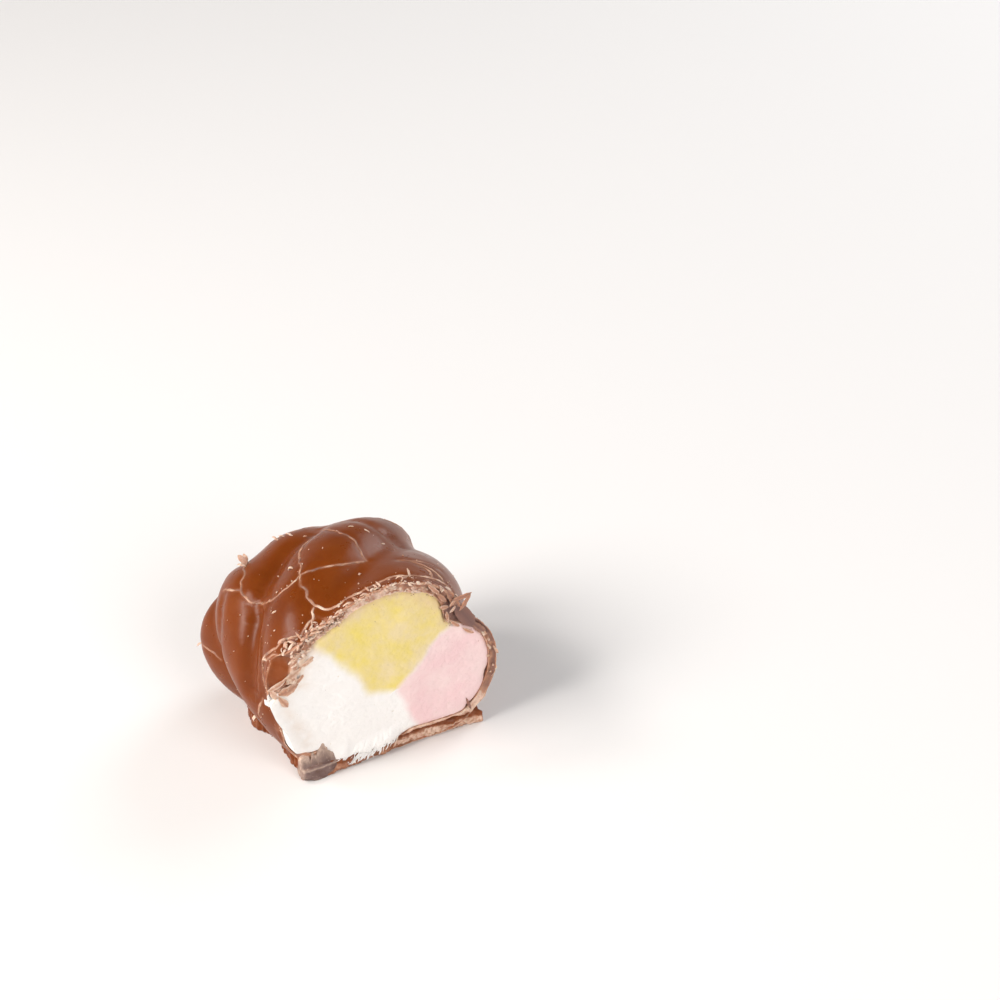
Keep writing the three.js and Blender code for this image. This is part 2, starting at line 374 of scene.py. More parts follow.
def noise_node(tree, size, detail):
    """A noise texture over the piece's own coordinates, with lumps of a size in millimetres."""
    place = tree.nodes.new("ShaderNodeTexCoord")
    texture = tree.nodes.new("ShaderNodeTexNoise")
    set_plain(texture, {"Scale": 1.0 / (size * MM), "Detail": detail, "Roughness": 0.55})
    tree.links.new(place.outputs["Object"], texture.inputs["Vector"])
    return texture.outputs["Fac"]


def range_node(tree, value, low, high, to_low=0.0, to_high=1.0):
    node = tree.nodes.new("ShaderNodeMapRange")
    set_plain(node, {"From Min": low, "From Max": high, "To Min": to_low, "To Max": to_high})
    tree.links.new(value, node.inputs["Value"])
    return node.outputs["Result"]


def cloud_node(tree, size, detail, *limits):
    """Noise with lumps of a size in millimetres, spread from its own range to another."""
    return range_node(tree, noise_node(tree, size, detail), *limits)


def mix_node(tree, factor, first, second):
    """Mixes two colours, each a socket or a plain colour, by a socket."""
    node = tree.nodes.new("ShaderNodeMix")
    node.data_type = "RGBA"
    tree.links.new(factor, node.inputs[0])
    for socket, value in ((node.inputs[6], first), (node.inputs[7], second)):
        if hasattr(value, "is_output"):
            tree.links.new(value, socket)
        else:
            socket.default_value = (*value, 1.0)
    return node.outputs[2]


def multiply_node(tree, first, second):
    node = tree.nodes.new("ShaderNodeMath")
    node.operation = "MULTIPLY"
    tree.links.new(first, node.inputs[0])
    if hasattr(second, "is_output"):
        tree.links.new(second, node.inputs[1])
    else:
        node.inputs[1].default_value = second
    return node.outputs[0]


def attribute_node(tree, name):
    node = tree.nodes.new("ShaderNodeAttribute")
    node.attribute_name = name
    return node


def bump_node(tree, shader, layers):
    """Bumps, one on top of the other, each with its lumps' size, the noise's detail and its height."""
    below = None
    for size, detail, height in layers:
        node = tree.nodes.new("ShaderNodeBump")
        set_plain(node, {"Strength": 1.0, "Distance": height * MM})
        tree.links.new(noise_node(tree, size, detail), node.inputs["Height"])
        if below is not None:
            tree.links.new(below, node.inputs["Normal"])
        below = node.outputs["Normal"]
    tree.links.new(below, shader.inputs["Normal"])


def scaled_colour(colour, factor):
    return tuple(min(1.0, c * f) for c, f in zip(colour, np.broadcast_to(factor, 3)))


def worn_colours(tree, share, fresh, colours):
    """From the fresh colour at 0 through freshly broken chocolate at a half to pale, scraped edges at 1."""
    half = mix_node(tree, range_node(tree, share, 0.0, 0.5), fresh, tuple(colours.broken))
    return mix_node(tree, range_node(tree, share, 0.5, 1.0), half, tuple(colours.scraped))


def coat_material(colours):
    """Satin milk chocolate, paler and duller where rubbed or broken, and paled along the ridge as a painted
    highlight.
    """
    material, tree, shader = new_material("milk_chocolate")
    patches = cloud_node(tree, 4.0, 3.0, 0.3, 0.7)
    darker = scaled_colour(colours.chocolate, (0.90, 0.86, 0.84))
    fresh = mix_node(tree, patches, darker, scaled_colour(colours.chocolate, (1.12, 1.16, 1.2)))
    grain = cloud_node(tree, 0.35, 4.0, 0.35, 0.62, 0.55, 1.0)
    wear_and_highlight = multiply_node(tree, attribute_node(tree, "wear_and_highlight").outputs["Fac"], grain)
    tree.links.new(worn_colours(tree, wear_and_highlight, fresh, colours), shader.inputs["Base Color"])
    rough = tree.nodes.new("ShaderNodeMix")
    rough.inputs["B"].default_value = 0.7
    tree.links.new(wear_and_highlight, rough.inputs["Factor"])
    tree.links.new(cloud_node(tree, 1.6, 4.0, 0.3, 0.7, 0.26, 0.36), rough.inputs["A"])
    tree.links.new(rough.outputs["Result"], shader.inputs["Roughness"])
    set_plain(shader, {
        "Specular IOR Level": 0.2, "IOR": 1.5, "Subsurface Weight": 0.15,
        "Subsurface Radius": (1.0, 0.35, 0.15), "Subsurface Scale": 0.6 * MM})
    bump_node(tree, shader, [(1.1, 2.0, 0.02), (0.22, 3.0, 0.006)])
    return material


def broken_material(colours):
    """Shaved and broken chocolate: pale, dull and uneven, from brown to nearly cream."""
    material, tree, shader = new_material("broken_chocolate")
    deep = scaled_colour(colours.bloomed, (0.9, 0.72, 0.68))
    mottled = cloud_node(tree, 0.3, 4.0, 0.3, 0.7, 0.75, 1.1)
    shade = multiply_node(tree, attribute_node(tree, "shade").outputs["Fac"], mottled)
    tree.links.new(worn_colours(tree, shade, deep, colours), shader.inputs["Base Color"])
    set_plain(shader, {
        "Roughness": 0.5, "Subsurface Weight": 0.25, "Subsurface Radius": (1.0, 0.5, 0.3),
        "Subsurface Scale": 0.4 * MM})
    bump_node(tree, shader, [(0.14, 3.0, 0.03)])
    return material


def bloomed_material(colours):
    """Dull grey-brown broken faces with pale edges and, from the shade attribute, a painted highlight."""
    material, tree, shader = new_material("bloomed_chocolate")
    cloudy = cloud_node(tree, 0.8, 4.0, 0.35, 0.68)
    grey = mix_node(tree, cloudy, tuple(colours.bloomed), scaled_colour(colours.bloomed, (0.62, 0.5, 0.42)))
    grain = cloud_node(tree, 0.3, 4.0, 0.3, 0.7, 0.6, 1.1)
    pale = multiply_node(tree, attribute_node(tree, "shade").outputs["Fac"], grain)
    tree.links.new(mix_node(tree, pale, grey, tuple(colours.scraped)), shader.inputs["Base Color"])
    set_plain(shader, {"Roughness": 0.55})
    bump_node(tree, shader, [(0.5, 3.0, 0.08), (0.14, 3.0, 0.03)])
    return material


def marshmallow_material(name, colours):
    """Soft foam. Near a border the colours run into each other, by the weights in the piece's blend."""
    material, tree, shader = new_material(name)
    parts = tree.nodes.new("ShaderNodeSeparateXYZ")
    tree.links.new(attribute_node(tree, "blend").outputs["Vector"], parts.inputs["Vector"])
    streaks = cloud_node(tree, 2.6, 4.0, 0.36, 0.68)
    paler = scaled_colour(colours.yellow, (0.985, 0.98, 1.28))
    yellow = mix_node(tree, streaks, paler, scaled_colour(colours.yellow, (1.0, 0.985, 0.62)))
    colour = mix_node(tree, parts.outputs["X"], tuple(colours.white), yellow)
    patches = cloud_node(tree, 3.0, 3.0, 0.35, 0.75)
    deeper = scaled_colour(colours.pink, (0.98, 0.94, 0.96))
    pink = mix_node(tree, patches, deeper, scaled_colour(colours.pink, (1.0, 1.08, 1.06)))
    colour = mix_node(tree, parts.outputs["Y"], colour, pink)
    colour = mix_node(tree, parts.outputs["Z"], colour, SMEARED)
    colour = mix_node(tree, cloud_node(tree, 0.5, 2.0, 0.70, 0.78, 0.0, 0.35), colour, SPECKS)
    tree.links.new(colour, shader.inputs["Base Color"])
    set_plain(shader, {"Roughness": 0.8, "Specular IOR Level": 0.25})
    bump_node(tree, shader, [(0.9, 4.0, 0.10), (0.16, 3.0, 0.03)])
    return material


def floor_material(stage):
    material, _, shader = new_material("pale_floor")
    set_plain(shader, {"Base Color": (*stage.floor, 1.0), "Roughness": 0.9, "Specular IOR Level": 0.0})
    return material


# ---------------------------------------------------------------- the coat's surface

# Cracks in the coat where it has set and parted, each a path of angle in degrees and millimetres behind the
# cut.
CRACKS = (
    ((114, 6.8), (105, 6.3), (94, 6.1), (81, 6.4)),
    ((89, 14.0), (87, 11.7), (83, 9.7), (82, 7.9), (81, 6.4)),
    ((89, 14.0), (99, 12.6), (107, 10.5), (111, 8.3), (114, 6.8), (117, 5.8)),
    ((117, 5.8), (118, 3.9), (119, 2.8), (117, 1.7), (112, 1.3), (105, 1.5), (97, 1.1), (88, 1.3), (78, 1.6),
     (66, 1.3)),
    ((66, 1.3), (55, 1.5), (44, 1.0)),
    ((119, 2.6), (123, 1.7), (127, 0.6)),
    ((124, 1.3), (131, 0.9), (135, 0.3)),
    ((114, 6.8), (121, 6.4), (130, 6.8), (141, 9.3), (141, 10.6), (140, 11.8), (133, 13.3), (126, 15.6)),
    ((140, 11.8), (147, 14.6)),
    ((193, 17.1), (192, 14.8), (195, 13.7)),
    ((178, 2.8), (170, 3.6), (163, 3.5), (158, 3.2), (152, 2.4), (147, 1.6), (141, 1.4), (134, 0.5)),
    ((170, 3.6), (168, 2.4), (171, 1.5)),
    ((198, 4.1), (190, 3.5), (185, 3.2)),
    ((200, 0.9), (206, 0.7)),
    ((60, 3.9), (57, 2.6), (58, 1.3)),
    ((67, 5.2), (60, 4.6), (52, 3.0), (49, 1.6)),
    ((62, 5.0), (54, 4.8), (46, 4.0)),
    ((159, 3.2), (154, 2.0), (150, 1.4), (148, 0.6)),
)
# The back and the right side have parted in the same way.
FAR_CRACKS = (
    ((62, 16.5), (50, 14.8), (36, 15.2), (24, 13.6)),
    ((36, 15.2), (30, 16.8), (12, 17.4)),
    ((24, 13.6), (14, 10.8), (16, 7.6), (6, 5.2), (-8, 4.6)),
    ((14, 10.8), (-4, 11.8), (-18, 10.4)),
    ((-4, 11.8), (-10, 14.6), (4, 17.0)),
    ((114, 16.7), (103, 17.3), (88, 17.2), (76, 16.9)),
    ((215, 12.2), (208, 9.4), (214, 6.6)),
)
# A sharp ridge where one strand's coat overlaps the next, its crest paled as a painted highlight, and the
# creases between the strands: depth and width in millimetres, then the path.
RIDGE = ((138, 8.4), (143, 6.1), (152, 5.6), (161, 5.2), (171, 4.6), (181, 4.0))
CREASES = (
    (0.34, 0.9, ((84, 15.4), (92, 14.2), (97, 13.7), (109, 12.9), (118, 11.8), (128, 10.5), (139, 9.2))),
    (0.55, 1.1, ((139, 9.2), (147, 7.7), (155, 6.9), (164, 6.2), (173, 5.5), (181, 4.9), (190, 4.3))),
    (0.26, 0.7, ((144, 13.6), (151, 13.2), (160, 12.1), (171, 11.4), (182, 11.8), (197, 13.3))),
    (0.20, 0.8, ((76, 15.5), (70, 12.5), (64, 11.0), (55, 10.4), (45, 9.2))),
)


# Where the coat's edge is bent in over the marshmallow in one smooth fold, in degrees, and how far it reaches
# forward there in millimetres.
FOLD = (142, 154, 162, 174)
FOLD_REACH = 1.3
# The lip on the left, where the foam stands out of the coat: its stretch on the outside of the broken edge,
# in the thickness, along the edge itself and on the foam, how far it lies back, and the thickness there.
LIP_OUTSIDE, LIP_INSIDE = (168, 177, 212, 222), (168, 177, 210, 220)
LIP_EDGE, LIP_FOAM = (166, 176, 212, 222), (168, 178, 210, 220)
LIP_BACK = 0.8
LIP_THICKNESS = 0.05
# Where the broken edge is dark along its middle, and where it lies under the piece.
DARK = (0, 12, 42, 52)
UNDER = (222, 240, 326, 338)
# Bumps of the chocolate's thickness on the cut, and of how pale and how crumbly its edge is: height,
# direction and width.
THICKER = ((1.3, 36, 13), (0.15, 85, 30), (1.1, 147, 12), (1.5, 163, 9))
PALER = ((0.5, 112, 45), (0.25, 96, 14), (0.35, 160, 20))
CRUMBLIER = ((1.2, 147, 14), (0.8, 36, 12), (0.5, 100, 30))
# On the coat a degree about the axis is about this many millimetres.
DEGREE = 0.2
PATH_STEP = 0.12


def smooth_path(corners):
    """A path through corners, rounded between them, with a slight wander."""
    corners = np.array(corners, float)
    padded = np.vstack([2 * corners[0] - corners[1], corners, 2 * corners[-1] - corners[-2]])
    parts = []
    for a, b, c, d in zip(padded, padded[1:], padded[2:], padded[3:]):
        points = max(3, int(math.hypot(*((c - b) * (DEGREE, 1.0))) / PATH_STEP))
        t = np.linspace(0, 1, points, endpoint=False)[:, None]
        curve = 2 * b + (c - a) * t + (2 * a - 5 * b + 4 * c - d) * t ** 2 + (3 * b - a - 3 * c + d) * t ** 3
        parts.append(0.5 * curve)
    path = np.vstack([*parts, corners[-1:]])
    spots = np.column_stack([path[:, 0] * DEGREE, path[:, 1], 0 * path[:, 0]])
    path[:, 0] += 0.8 * cloud(spots, 0.9, 81, 2)
    path[:, 1] += 0.13 * cloud(spots, 0.9, 83, 2)
    return path


def folded(degrees):
    return between(degrees, *FOLD)


def rim_place(degrees):
    """How far behind the cut the broken rim lies, in millimetres."""
    angle = np.radians(degrees)
    circle = np.stack([np.cos(angle) * 11, np.sin(angle) * 11, angle * 0], -1)
    chips = 0.16 * cloud(circle, 1.8, 5, 2) + 0.07 * cloud(circle, 0.5, 8, 2)
    return chips + LIP_BACK * between(degrees, *LIP_OUTSIDE) + FOLD_REACH * folded(degrees)


def face_inset(rope, degrees):
    """Thickness of the chocolate around the marshmallow on the cut."""
    lip = between(degrees, *LIP_INSIDE)
    return bumps(degrees, rope.coat, THICKER) * (1 - lip) + LIP_THICKNESS * lip


def coat_surface(rope, angle, behind):
    """The coat's outside with its slow unevenness and its creases, and the direction outwards."""
    place, _, out, _ = rope.basis(angle, behind)
    swell = 0.10 * cloud(place, 5.0, 31, 2) + 0.02 * noise(place, 1.4, 40)
    for depth, width, corners in CREASES:
        path = smooth_path(corners)
        line = rope.basis(np.radians(path[:, 0]), path[:, 1])[0]
        distance, nearest = nearest_distance(place, line)
        swell = swell - depth * tapered(len(line), 12.0)[nearest] * bell(distance, width)
    return place + out * swell[..., None], out


def tapered(points, over):
    """1 along a path's points, less over the first and the last of them."""
    return np.minimum(1, np.minimum(np.arange(points), np.arange(points)[::-1]) / over)


def nearest_distance(points, path_points):
    """How far points are from the nearest of a path's points, and which of those that is."""
    tree = KDTree(len(path_points))
    for index, spot in enumerate(path_points):
        tree.insert(spot, index)
    tree.balance()
    found = [tree.find(spot)[1:] for spot in points.reshape(-1, 3)]
    shape = points.shape[:-1]
    return np.array([f[1] for f in found]).reshape(shape), np.array([f[0] for f in found]).reshape(shape)


def path_places(rope, corners):
    """Places on the coat along a path through corners."""
    path = smooth_path(corners)
    return coat_surface(rope, np.radians(path[:, 0]), path[:, 1])[0]


# Points around the coat and rows of them along it.
COAT_FACETS, COAT_FACETS_QUICK = (540, 158), (300, 90)
# The outermost rings of the broken edge, which are smooth chocolate where the edge is bent over.
SMOOTH_RINGS = 7
# The share of the coat's rows that lie along its side, the share of its length that they cover, and how
# evenly they do.
SIDE_ROWS, SIDE_LENGTH, EVENNESS = 0.8, 0.82, 0.62
# Rings across the broken edge, from the outside to the marshmallow.
EDGE_RINGS = (0.05, 0.13, 0.22, 0.32, 0.43, 0.54, 0.64, 0.73, 0.82, 0.9, 0.96, 1.0)
# Thickness of the foot's smooth upper layer over its broken front.
LAYER = 1.6
# Rings of the inner wall: millimetres behind the rim, and how far the thickness has settled to the coat's.
WALL_RINGS = ((0.5, 0.2), (1.2, 0.7), (2.4, 1), (6, 1), (10, 1), (14, 1), (16.6, 1), (17.8, 1))


class TWIST_OT_coat(bpy.types.Operator):
    """Make the chocolate coat with its broken rim"""

    bl_idname = "twist.coat"
    bl_label = "Chocolate Coat"

    def execute(self, context):
        rope = Rope(context.scene.twist_shape)
        around, rows = COAT_FACETS
        angle = np.linspace(0, 2 * math.pi, around, endpoint=False)
        degrees = np.degrees(angle)
        start = rim_place(degrees)
        outer, outer_wear_and_highlight = self.outside(rope, angle, start, rows)
        band, worn_band = self.rim(rope, angle, start)
        inside = self.inside(rope, angle, start)
        inner_pole = (AXIS_DRIFT, CUT_Y + ROPE_LENGTH - rope.coat, AXIS_Z - AXIS_DROP)
        rings = [*inside[::-1], *band[::-1], *np.moveaxis(outer, 1, 0)]
        points, faces = capped_rings(rings, inner_pole, outer[:, -1].mean(0))
        wear_and_highlight = [np.zeros(around)] * len(inside) + worn_band[::-1] + list(outer_wear_and_highlight.T)
        wear_and_highlight = np.concatenate(wear_and_highlight + [[0.0], [0.0]])
        first = len(inside) * around
        last = first + len(band) * around
        bent = folded(degrees) > 0.5

        def is_broken(face):
            smooth = face[0] >= last - SMOOTH_RINGS * around and bent[face[0] % around]
            return first <= max(face) < last and not smooth

        colours = context.scene.twist_colours
        make_piece(
            "coat", points, faces, [coat_material(colours), broken_material(colours)],
            ["chocolate_coat"], face_materials=[is_broken(face) for face in faces],
            attributes={"wear_and_highlight": wear_and_highlight, "shade": wear_and_highlight})
        return {"FINISHED"}

    def outside(self, rope, angle, start, rows):
        """The outside with its cracks and its ridge, how rubbed it is, and a painted highlight along the
        ridge.
        """
        steps = np.linspace(0, 1, rows + 1)[:-1]
        side = np.minimum(steps / SIDE_ROWS, 1)
        end = np.clip((steps - SIDE_ROWS) / (1 - SIDE_ROWS), 0, 1)
        share = SIDE_LENGTH * (EVENNESS * side + (1 - EVENNESS) * side ** 2)
        share += (1 - SIDE_LENGTH) * np.sin(end * math.pi / 2)
        behind = start[:, None] + (ROPE_LENGTH - start[:, None]) * share[None, :]
        place, out = coat_surface(rope, angle[:, None] + 0 * behind, behind)
        to_crack, _ = nearest_distance(place, np.vstack([path_places(rope, c) for c in CRACKS + FAR_CRACKS]))
        to_ridge, _ = nearest_distance(place, path_places(rope, RIDGE))
        degrees = np.degrees(angle)[:, None]
        from_rim = behind - start[:, None]
        scraped = bell(from_rim, 0.9) * bumps(degrees, 0.35, [(0.65, 110, 75)])
        lift = -0.07 * bell(to_crack, 0.5) + 0.16 * np.exp(-to_ridge / 0.28)
        lift += 0.10 * scraped * cloud(place, 0.45, 90, 2)
        lift[:, 0] -= 0.05
        wear_and_highlight = (0.8 - 0.5 * folded(degrees)) * bell(from_rim, 0.14) + 0.4 * bell(to_crack, 0.13)
        # Painted highlight: the last term pales the coat along the ridge's crest.
        wear_and_highlight += 0.45 * scraped * smooth_step(noise(place, 0.5, 95), 0.2, 0.7) + 0.25 * np.exp(-to_ridge / 0.1)
        return place + out * lift[..., None], np.clip(wear_and_highlight, 0, 1)

    def rim(self, rope, angle, start):
        """The broken edge, from the outside to the marshmallow, hollowed along its middle."""
        degrees = np.degrees(angle)
        thickness = face_inset(rope, degrees) + 0.25 * between(degrees, *LIP_EDGE)
        pale = bumps(degrees, 0.6, PALER)
        crumbly = bumps(degrees, 0.6, CRUMBLIER)
        dark = between(degrees, *DARK)
        under = between(degrees, *UNDER)
        bent = folded(degrees)
        rings, wear_and_highlight = [], []
        for t in EDGE_RINGS:
            middle = math.sin(math.pi * t)
            behind = start - FOLD_REACH * bent * smooth_step(t, 0.0, 0.62) * bent
            floor = lambda x, t=t: FOOT_LEVEL + (floor_height(x) - FOOT_LEVEL) * t
            front = rope.point(angle, np.maximum(behind, 0), thickness * t, floor)
            front[:, 1] = CUT_Y + behind
            over_layer = front[:, 2] - LAYER - 0.14 * cloud(front * (1, 0, 0), 1.3, 78, 2)
            above = smooth_step(over_layer, -0.1, 0.15)
            smooth = bent * (t < 0.6)
            rough = crumbly * cloud(front, 0.6, 77, 3) * (t < 1) * (1 - 0.8 * smooth)
            wavy = 0.22 * bump(degrees, 98, 16) * noise(front, 0.8, 71)
            hollow = 0.20 * middle * (1 - under) * (1 - bent)
            front[:, 1] += hollow + 0.16 * rough + 0.6 * under * (1 - above) + wavy
            rings.append(front)
            ragged = smooth_step(noise(front, 0.5, 99), -0.5, 0.4)
            towards_foam = 0.5 + 0.5 * smooth_step(t, 0.3, 0.6)
            edged = pale * towards_foam * (0.5 + 0.5 * ragged) * (1 - 0.85 * dark * middle ** 0.5)
            if t < 0.1 or t > 0.9:
                edged = np.maximum(edged, 0.7 * pale + 0.25)
            layered = 0.04 + above * (0.45 + 0.35 * ragged + 0.3 * smooth_step(over_layer, 0.2, 0.5))
            wear_and_highlight.append(np.clip(edged * (1 - 0.92 * smooth) * (1 - under) + layered * under, 0, 1))
        return rings, wear_and_highlight

    def inside(self, rope, angle, start):
        """The inner wall, which settles from the rim's thickness to the coat's."""
        inset = face_inset(rope, np.degrees(angle))
        return [
            rope.point(angle, start + behind, inset * (1 - settled) + rope.coat * settled, floor_height)
            for behind, settled in WALL_RINGS]


# A seam is a flat tube: points around it, half its width and its height, and how deep its middle lies.
SEAM_SIDES, SEAM_WIDE, SEAM_HIGH, SEAM_SUNK = 8, 0.125, 0.06, 0.045


class TWIST_OT_seams(bpy.types.Operator):
    """Make the thin raised seams that run along the cracks of the coat"""

    bl_idname = "twist.seams"
    bl_label = "Crack Seams"

    def execute(self, context):
        rope = Rope(context.scene.twist_shape)
        pile = Pile()
        for index, crack in enumerate(CRACKS + FAR_CRACKS):
            self.add_seam(rope, pile, smooth_path(crack), index)
        material = broken_material(context.scene.twist_colours)
        pile.piece("crack_seams", material, "chocolate", ["chocolate_coat"])
        return {"FINISHED"}

    def add_seam(self, rope, pile, path, index):
        path = path[path[:, 1] > rim_place(path[:, 0]) + 0.05]
        place, out = coat_surface(rope, np.radians(path[:, 0]), path[:, 1])
        side = np.cross(unit(np.gradient(place, axis=0)), out)
        near_rim = np.exp(-path[:, 1] / 3.0)
        size = np.maximum(tapered(len(place), 6.0), 0.05)
        size = size * (0.85 + 0.25 * near_rim + 0.45 * cloud(place, 0.5, 101 + index, 2))
        rings = []
        for turn in np.arange(SEAM_SIDES) * 2 * math.pi / SEAM_SIDES:
            wide = SEAM_WIDE * math.cos(turn) * size
            high = SEAM_HIGH * math.sin(turn) * size - SEAM_SUNK
            rings.append(place + side * wide[:, None] + out * high[:, None])
        points = np.stack(rings, 1).reshape(-1, 3)
        last = len(points) - SEAM_SIDES
        faces = ring_faces(len(place), SEAM_SIDES).tolist()
        faces += [list(range(SEAM_SIDES)), list(range(last, last + SEAM_SIDES))[::-1]]
        pale = 0.38 + 0.4 * np.repeat(near_rim, SEAM_SIDES) + 0.4 * cloud(points, 0.9, 120, 2)
        pile.add(points, faces, np.clip(pale, 0.1, 1))


# ---------------------------------------------------------------- the foot

# The foot's outline from above, from the left end of its front: x from the axis, y from the cut.
FOOT_OUTLINE = (
    (-9.5, 0.0), (-8.9, -0.35), (-7.1, -0.5), (-5.4, -0.5), (-3.8, -0.38), (-1.3, -0.22), (-0.4, -0.2),
    (0.8, 0.05), (2.1, 0.2), (5.3, 0.22), (9.2, 0.2), (10.3, 0.05), (11.3, -0.05), (11.35, 4.0),
    (10.9, 10.0), (9.2, 14.4), (5.5, 16.9), (0.0, 17.4), (-5.5, 16.7), (-8.9, 14.2), (-10.2, 11.4),
    (-10.3, 9.8), (-9.6, 8.4), (-9.15, 6.4), (-9.25, 4.6), (-9.0, 2.6), (-9.1, 1.0),
)
# The foot's edge from the ground up: share of its thickness, and how far it stands out in millimetres.
FOOT_EDGE = (
    (0.0, -0.12), (0.06, 0.0), (0.2, 0.05), (0.35, 0.03), (0.5, 0.0), (0.6, 0.0), (0.7, 0.0), (0.8, -0.03),
    (0.9, -0.06), (1.0, -0.16), (1.02, -0.6), (1.0, -1.6), (0.9, -2.6),
)


# The corner lump, from its middle: facets around it and up it, half sizes, sides as direction and distance,
# and the number of chips off its edges.
CORNER_PLACE = (-7.15, CUT_Y + 0.1, 0.86)
CORNER_FACETS = (128, 64)
CORNER_HALF_SIZES = (2.35, 0.7, 0.85)
CORNER_PLANES = (
    ((1, 0, 0.45), 2.25), ((-1, -0.1, 0.05), 2.1), ((0.05, -1, 0.1), 0.84), ((0, 1, 0), 0.8),
    ((0.1, 0, 1), 0.8), ((0, 0, -1), 0.9))
CORNER_CHIPS = 16


def resampled(corners, step):
    """A closed outline with points at even steps."""
    corners = np.array([*corners, corners[0]], float)
    lengths = np.concatenate([[0], np.cumsum(np.hypot(*np.diff(corners, axis=0).T))])
    at = np.arange(0, lengths[-1] - step / 2, step)
    return np.column_stack([np.interp(at, lengths, corners[:, k]) for k in range(2)])


class TWIST_OT_foot(bpy.types.Operator):
    """Make the flat foot with its broken edge, and the thick corner beside it"""

    bl_idname = "twist.foot"
    bl_label = "Chocolate Foot"

    def execute(self, context):
        self.make_foot(context.scene.twist_shape.foot / MM)
        self.make_corner(context.scene.twist_colours)
        return {"FINISHED"}

    def make_foot(self, thick):
        outline = resampled(FOOT_OUTLINE, 0.14) + (0, CUT_Y)
        ahead = unit(np.roll(outline, -3, 0) - np.roll(outline, 3, 0))
        outwards = np.column_stack([ahead[:, 1], -ahead[:, 0]])
        edge = np.column_stack([outline, 0 * outline[:, 0]])
        front = smooth_step(-outwards[:, 1], 0.6, 0.9)
        left = smooth_step(-outwards[:, 0], 0.5, 0.8)
        ragged = (0.22 - 0.14 * front) * cloud(edge, 1.7, 9, 2)
        ragged += (0.08 + 0.2 * left) * cloud(edge, 0.5, 13, 2)
        uneven = 0.10 * noise(edge, 2.5, 4) + 0.06 * noise(edge, 0.6, 6)
        pale = 0.35 + 0.6 * smooth_step(outline[:, 0], 0.0, 3.5)
        border = 0.72 + 0.12 * noise(edge, 1.1, 24)
        rings, wear_and_highlight = [], []
        for up, out in FOOT_EDGE:
            spot = np.column_stack([outline, np.full(len(outline), up * thick)])
            on_edge = out > -1
            rough = 0.14 * cloud(spot, 0.5, 21, 3) * (0.05 < up <= 1.0) * on_edge
            spot[:, :2] += outwards * (ragged + out + rough * (0.4 + front))[:, None]
            spot[:, 2] *= 1 + uneven * (up > 0.6) * on_edge
            rings.append(spot)
            below = smooth_step(border - up, -0.05, 0.1)
            broken = front * below * (0.04 < up) * (pale + 0.25 * noise(spot, 0.6, 23))
            wear_and_highlight.append(np.clip(broken + 0.08 * front + 0.25 * left * noise(spot, 0.4, 25), 0, 1))
        points, faces = capped_rings(rings, (0.5, CUT_Y + 8, 0.0), (0.5, CUT_Y + 8, 0.8 * thick))
        make_piece(
            "foot", points, faces, [bpy.data.materials["milk_chocolate"]], ["chocolate_coat"],
            attributes={"wear_and_highlight": np.concatenate(wear_and_highlight + [[0.0], [0.0]])})

    def make_corner(self, colours):
        """A thick broken lump at the left end of the cut: a block with chipped faces and a ragged crest."""
        around, rows = CORNER_FACETS
        theta = np.linspace(-math.pi, math.pi, around, endpoint=False)[None, :]
        phi = np.linspace(-math.pi / 2 + 0.02, math.pi / 2 - 0.02, rows)[:, None]
        level = np.cos(phi)
        ray = np.stack([level * np.cos(theta), level * np.sin(theta), np.sin(phi) + 0 * theta], -1)
        points = ray * self.reach(ray)[..., None]
        crest = smooth_step(points[..., 2], 0.45, 0.75) * smooth_step(points[..., 1], -0.55, -0.1)
        ragged = np.abs(cloud(points * (1, 0.4, 0), 0.8, 135, 3))
        points[..., 2] += crest * (0.35 + 0.9 * ragged + 1.6 * bell(points[..., 0] - 0.35, 0.55))
        rough = 0.10 * cloud(points, 1.2, 130, 2) + (0.05 + 0.10 * crest) * cloud(points, 0.4, 133, 3)
        points += ray * rough[..., None]
        points += CORNER_PLACE
        points[..., 2] = np.maximum(points[..., 2], 0.0)
        edges = smooth_step(np.abs(cloud(points, 1.0, 137, 2)), 0.05, 0.0)
        # Painted highlight: a pale line along the top edge of the block's front face.
        brink_highlight = bell(points[..., 2] - 1.42, 0.1) * smooth_step(CORNER_PLACE[1] - points[..., 1], -0.2, 0.3)
        shade = 0.6 * crest + 0.45 * brink_highlight + 0.3 * edges + 0.15 * noise(points, 0.8, 140)
        shade = np.clip(shade + 0.35 * smooth_step(-points[..., 0], 8.9, 9.4), 0, 1)
        flat = points.reshape(-1, 3)
        faces = ring_faces(rows, around)[:, ::-1].tolist()
        faces += [list(range(around))[::-1], list(range(len(flat) - around, len(flat)))]
        make_piece(
            "corner", flat, faces, [bloomed_material(colours)], ["chocolate_coat"],
            attributes={"shade": shade.ravel()})

    def reach(self, ray):
        """How far the block reaches along each ray, up to the nearest of its planes and its chips."""
        random = np.random.default_rng(41)
        half_sizes = np.array(CORNER_HALF_SIZES)
        planes = [*CORNER_PLANES]
        for _ in range(CORNER_CHIPS):
            way = unit(random.normal(0, 1, 3) / half_sizes)
            planes.append((way, np.sum(np.abs(way) * half_sizes) * random.uniform(0.68, 0.88)))
        reach = np.full(ray.shape[:2], 9.0)
        for way, distance in planes:
            facing = ray @ unit(np.array(way, float))
            reach = np.minimum(reach, np.where(facing > 0.01, distance / np.maximum(facing, 0.01), 9.0))
        return reach


# ---------------------------------------------------------------- the marshmallow

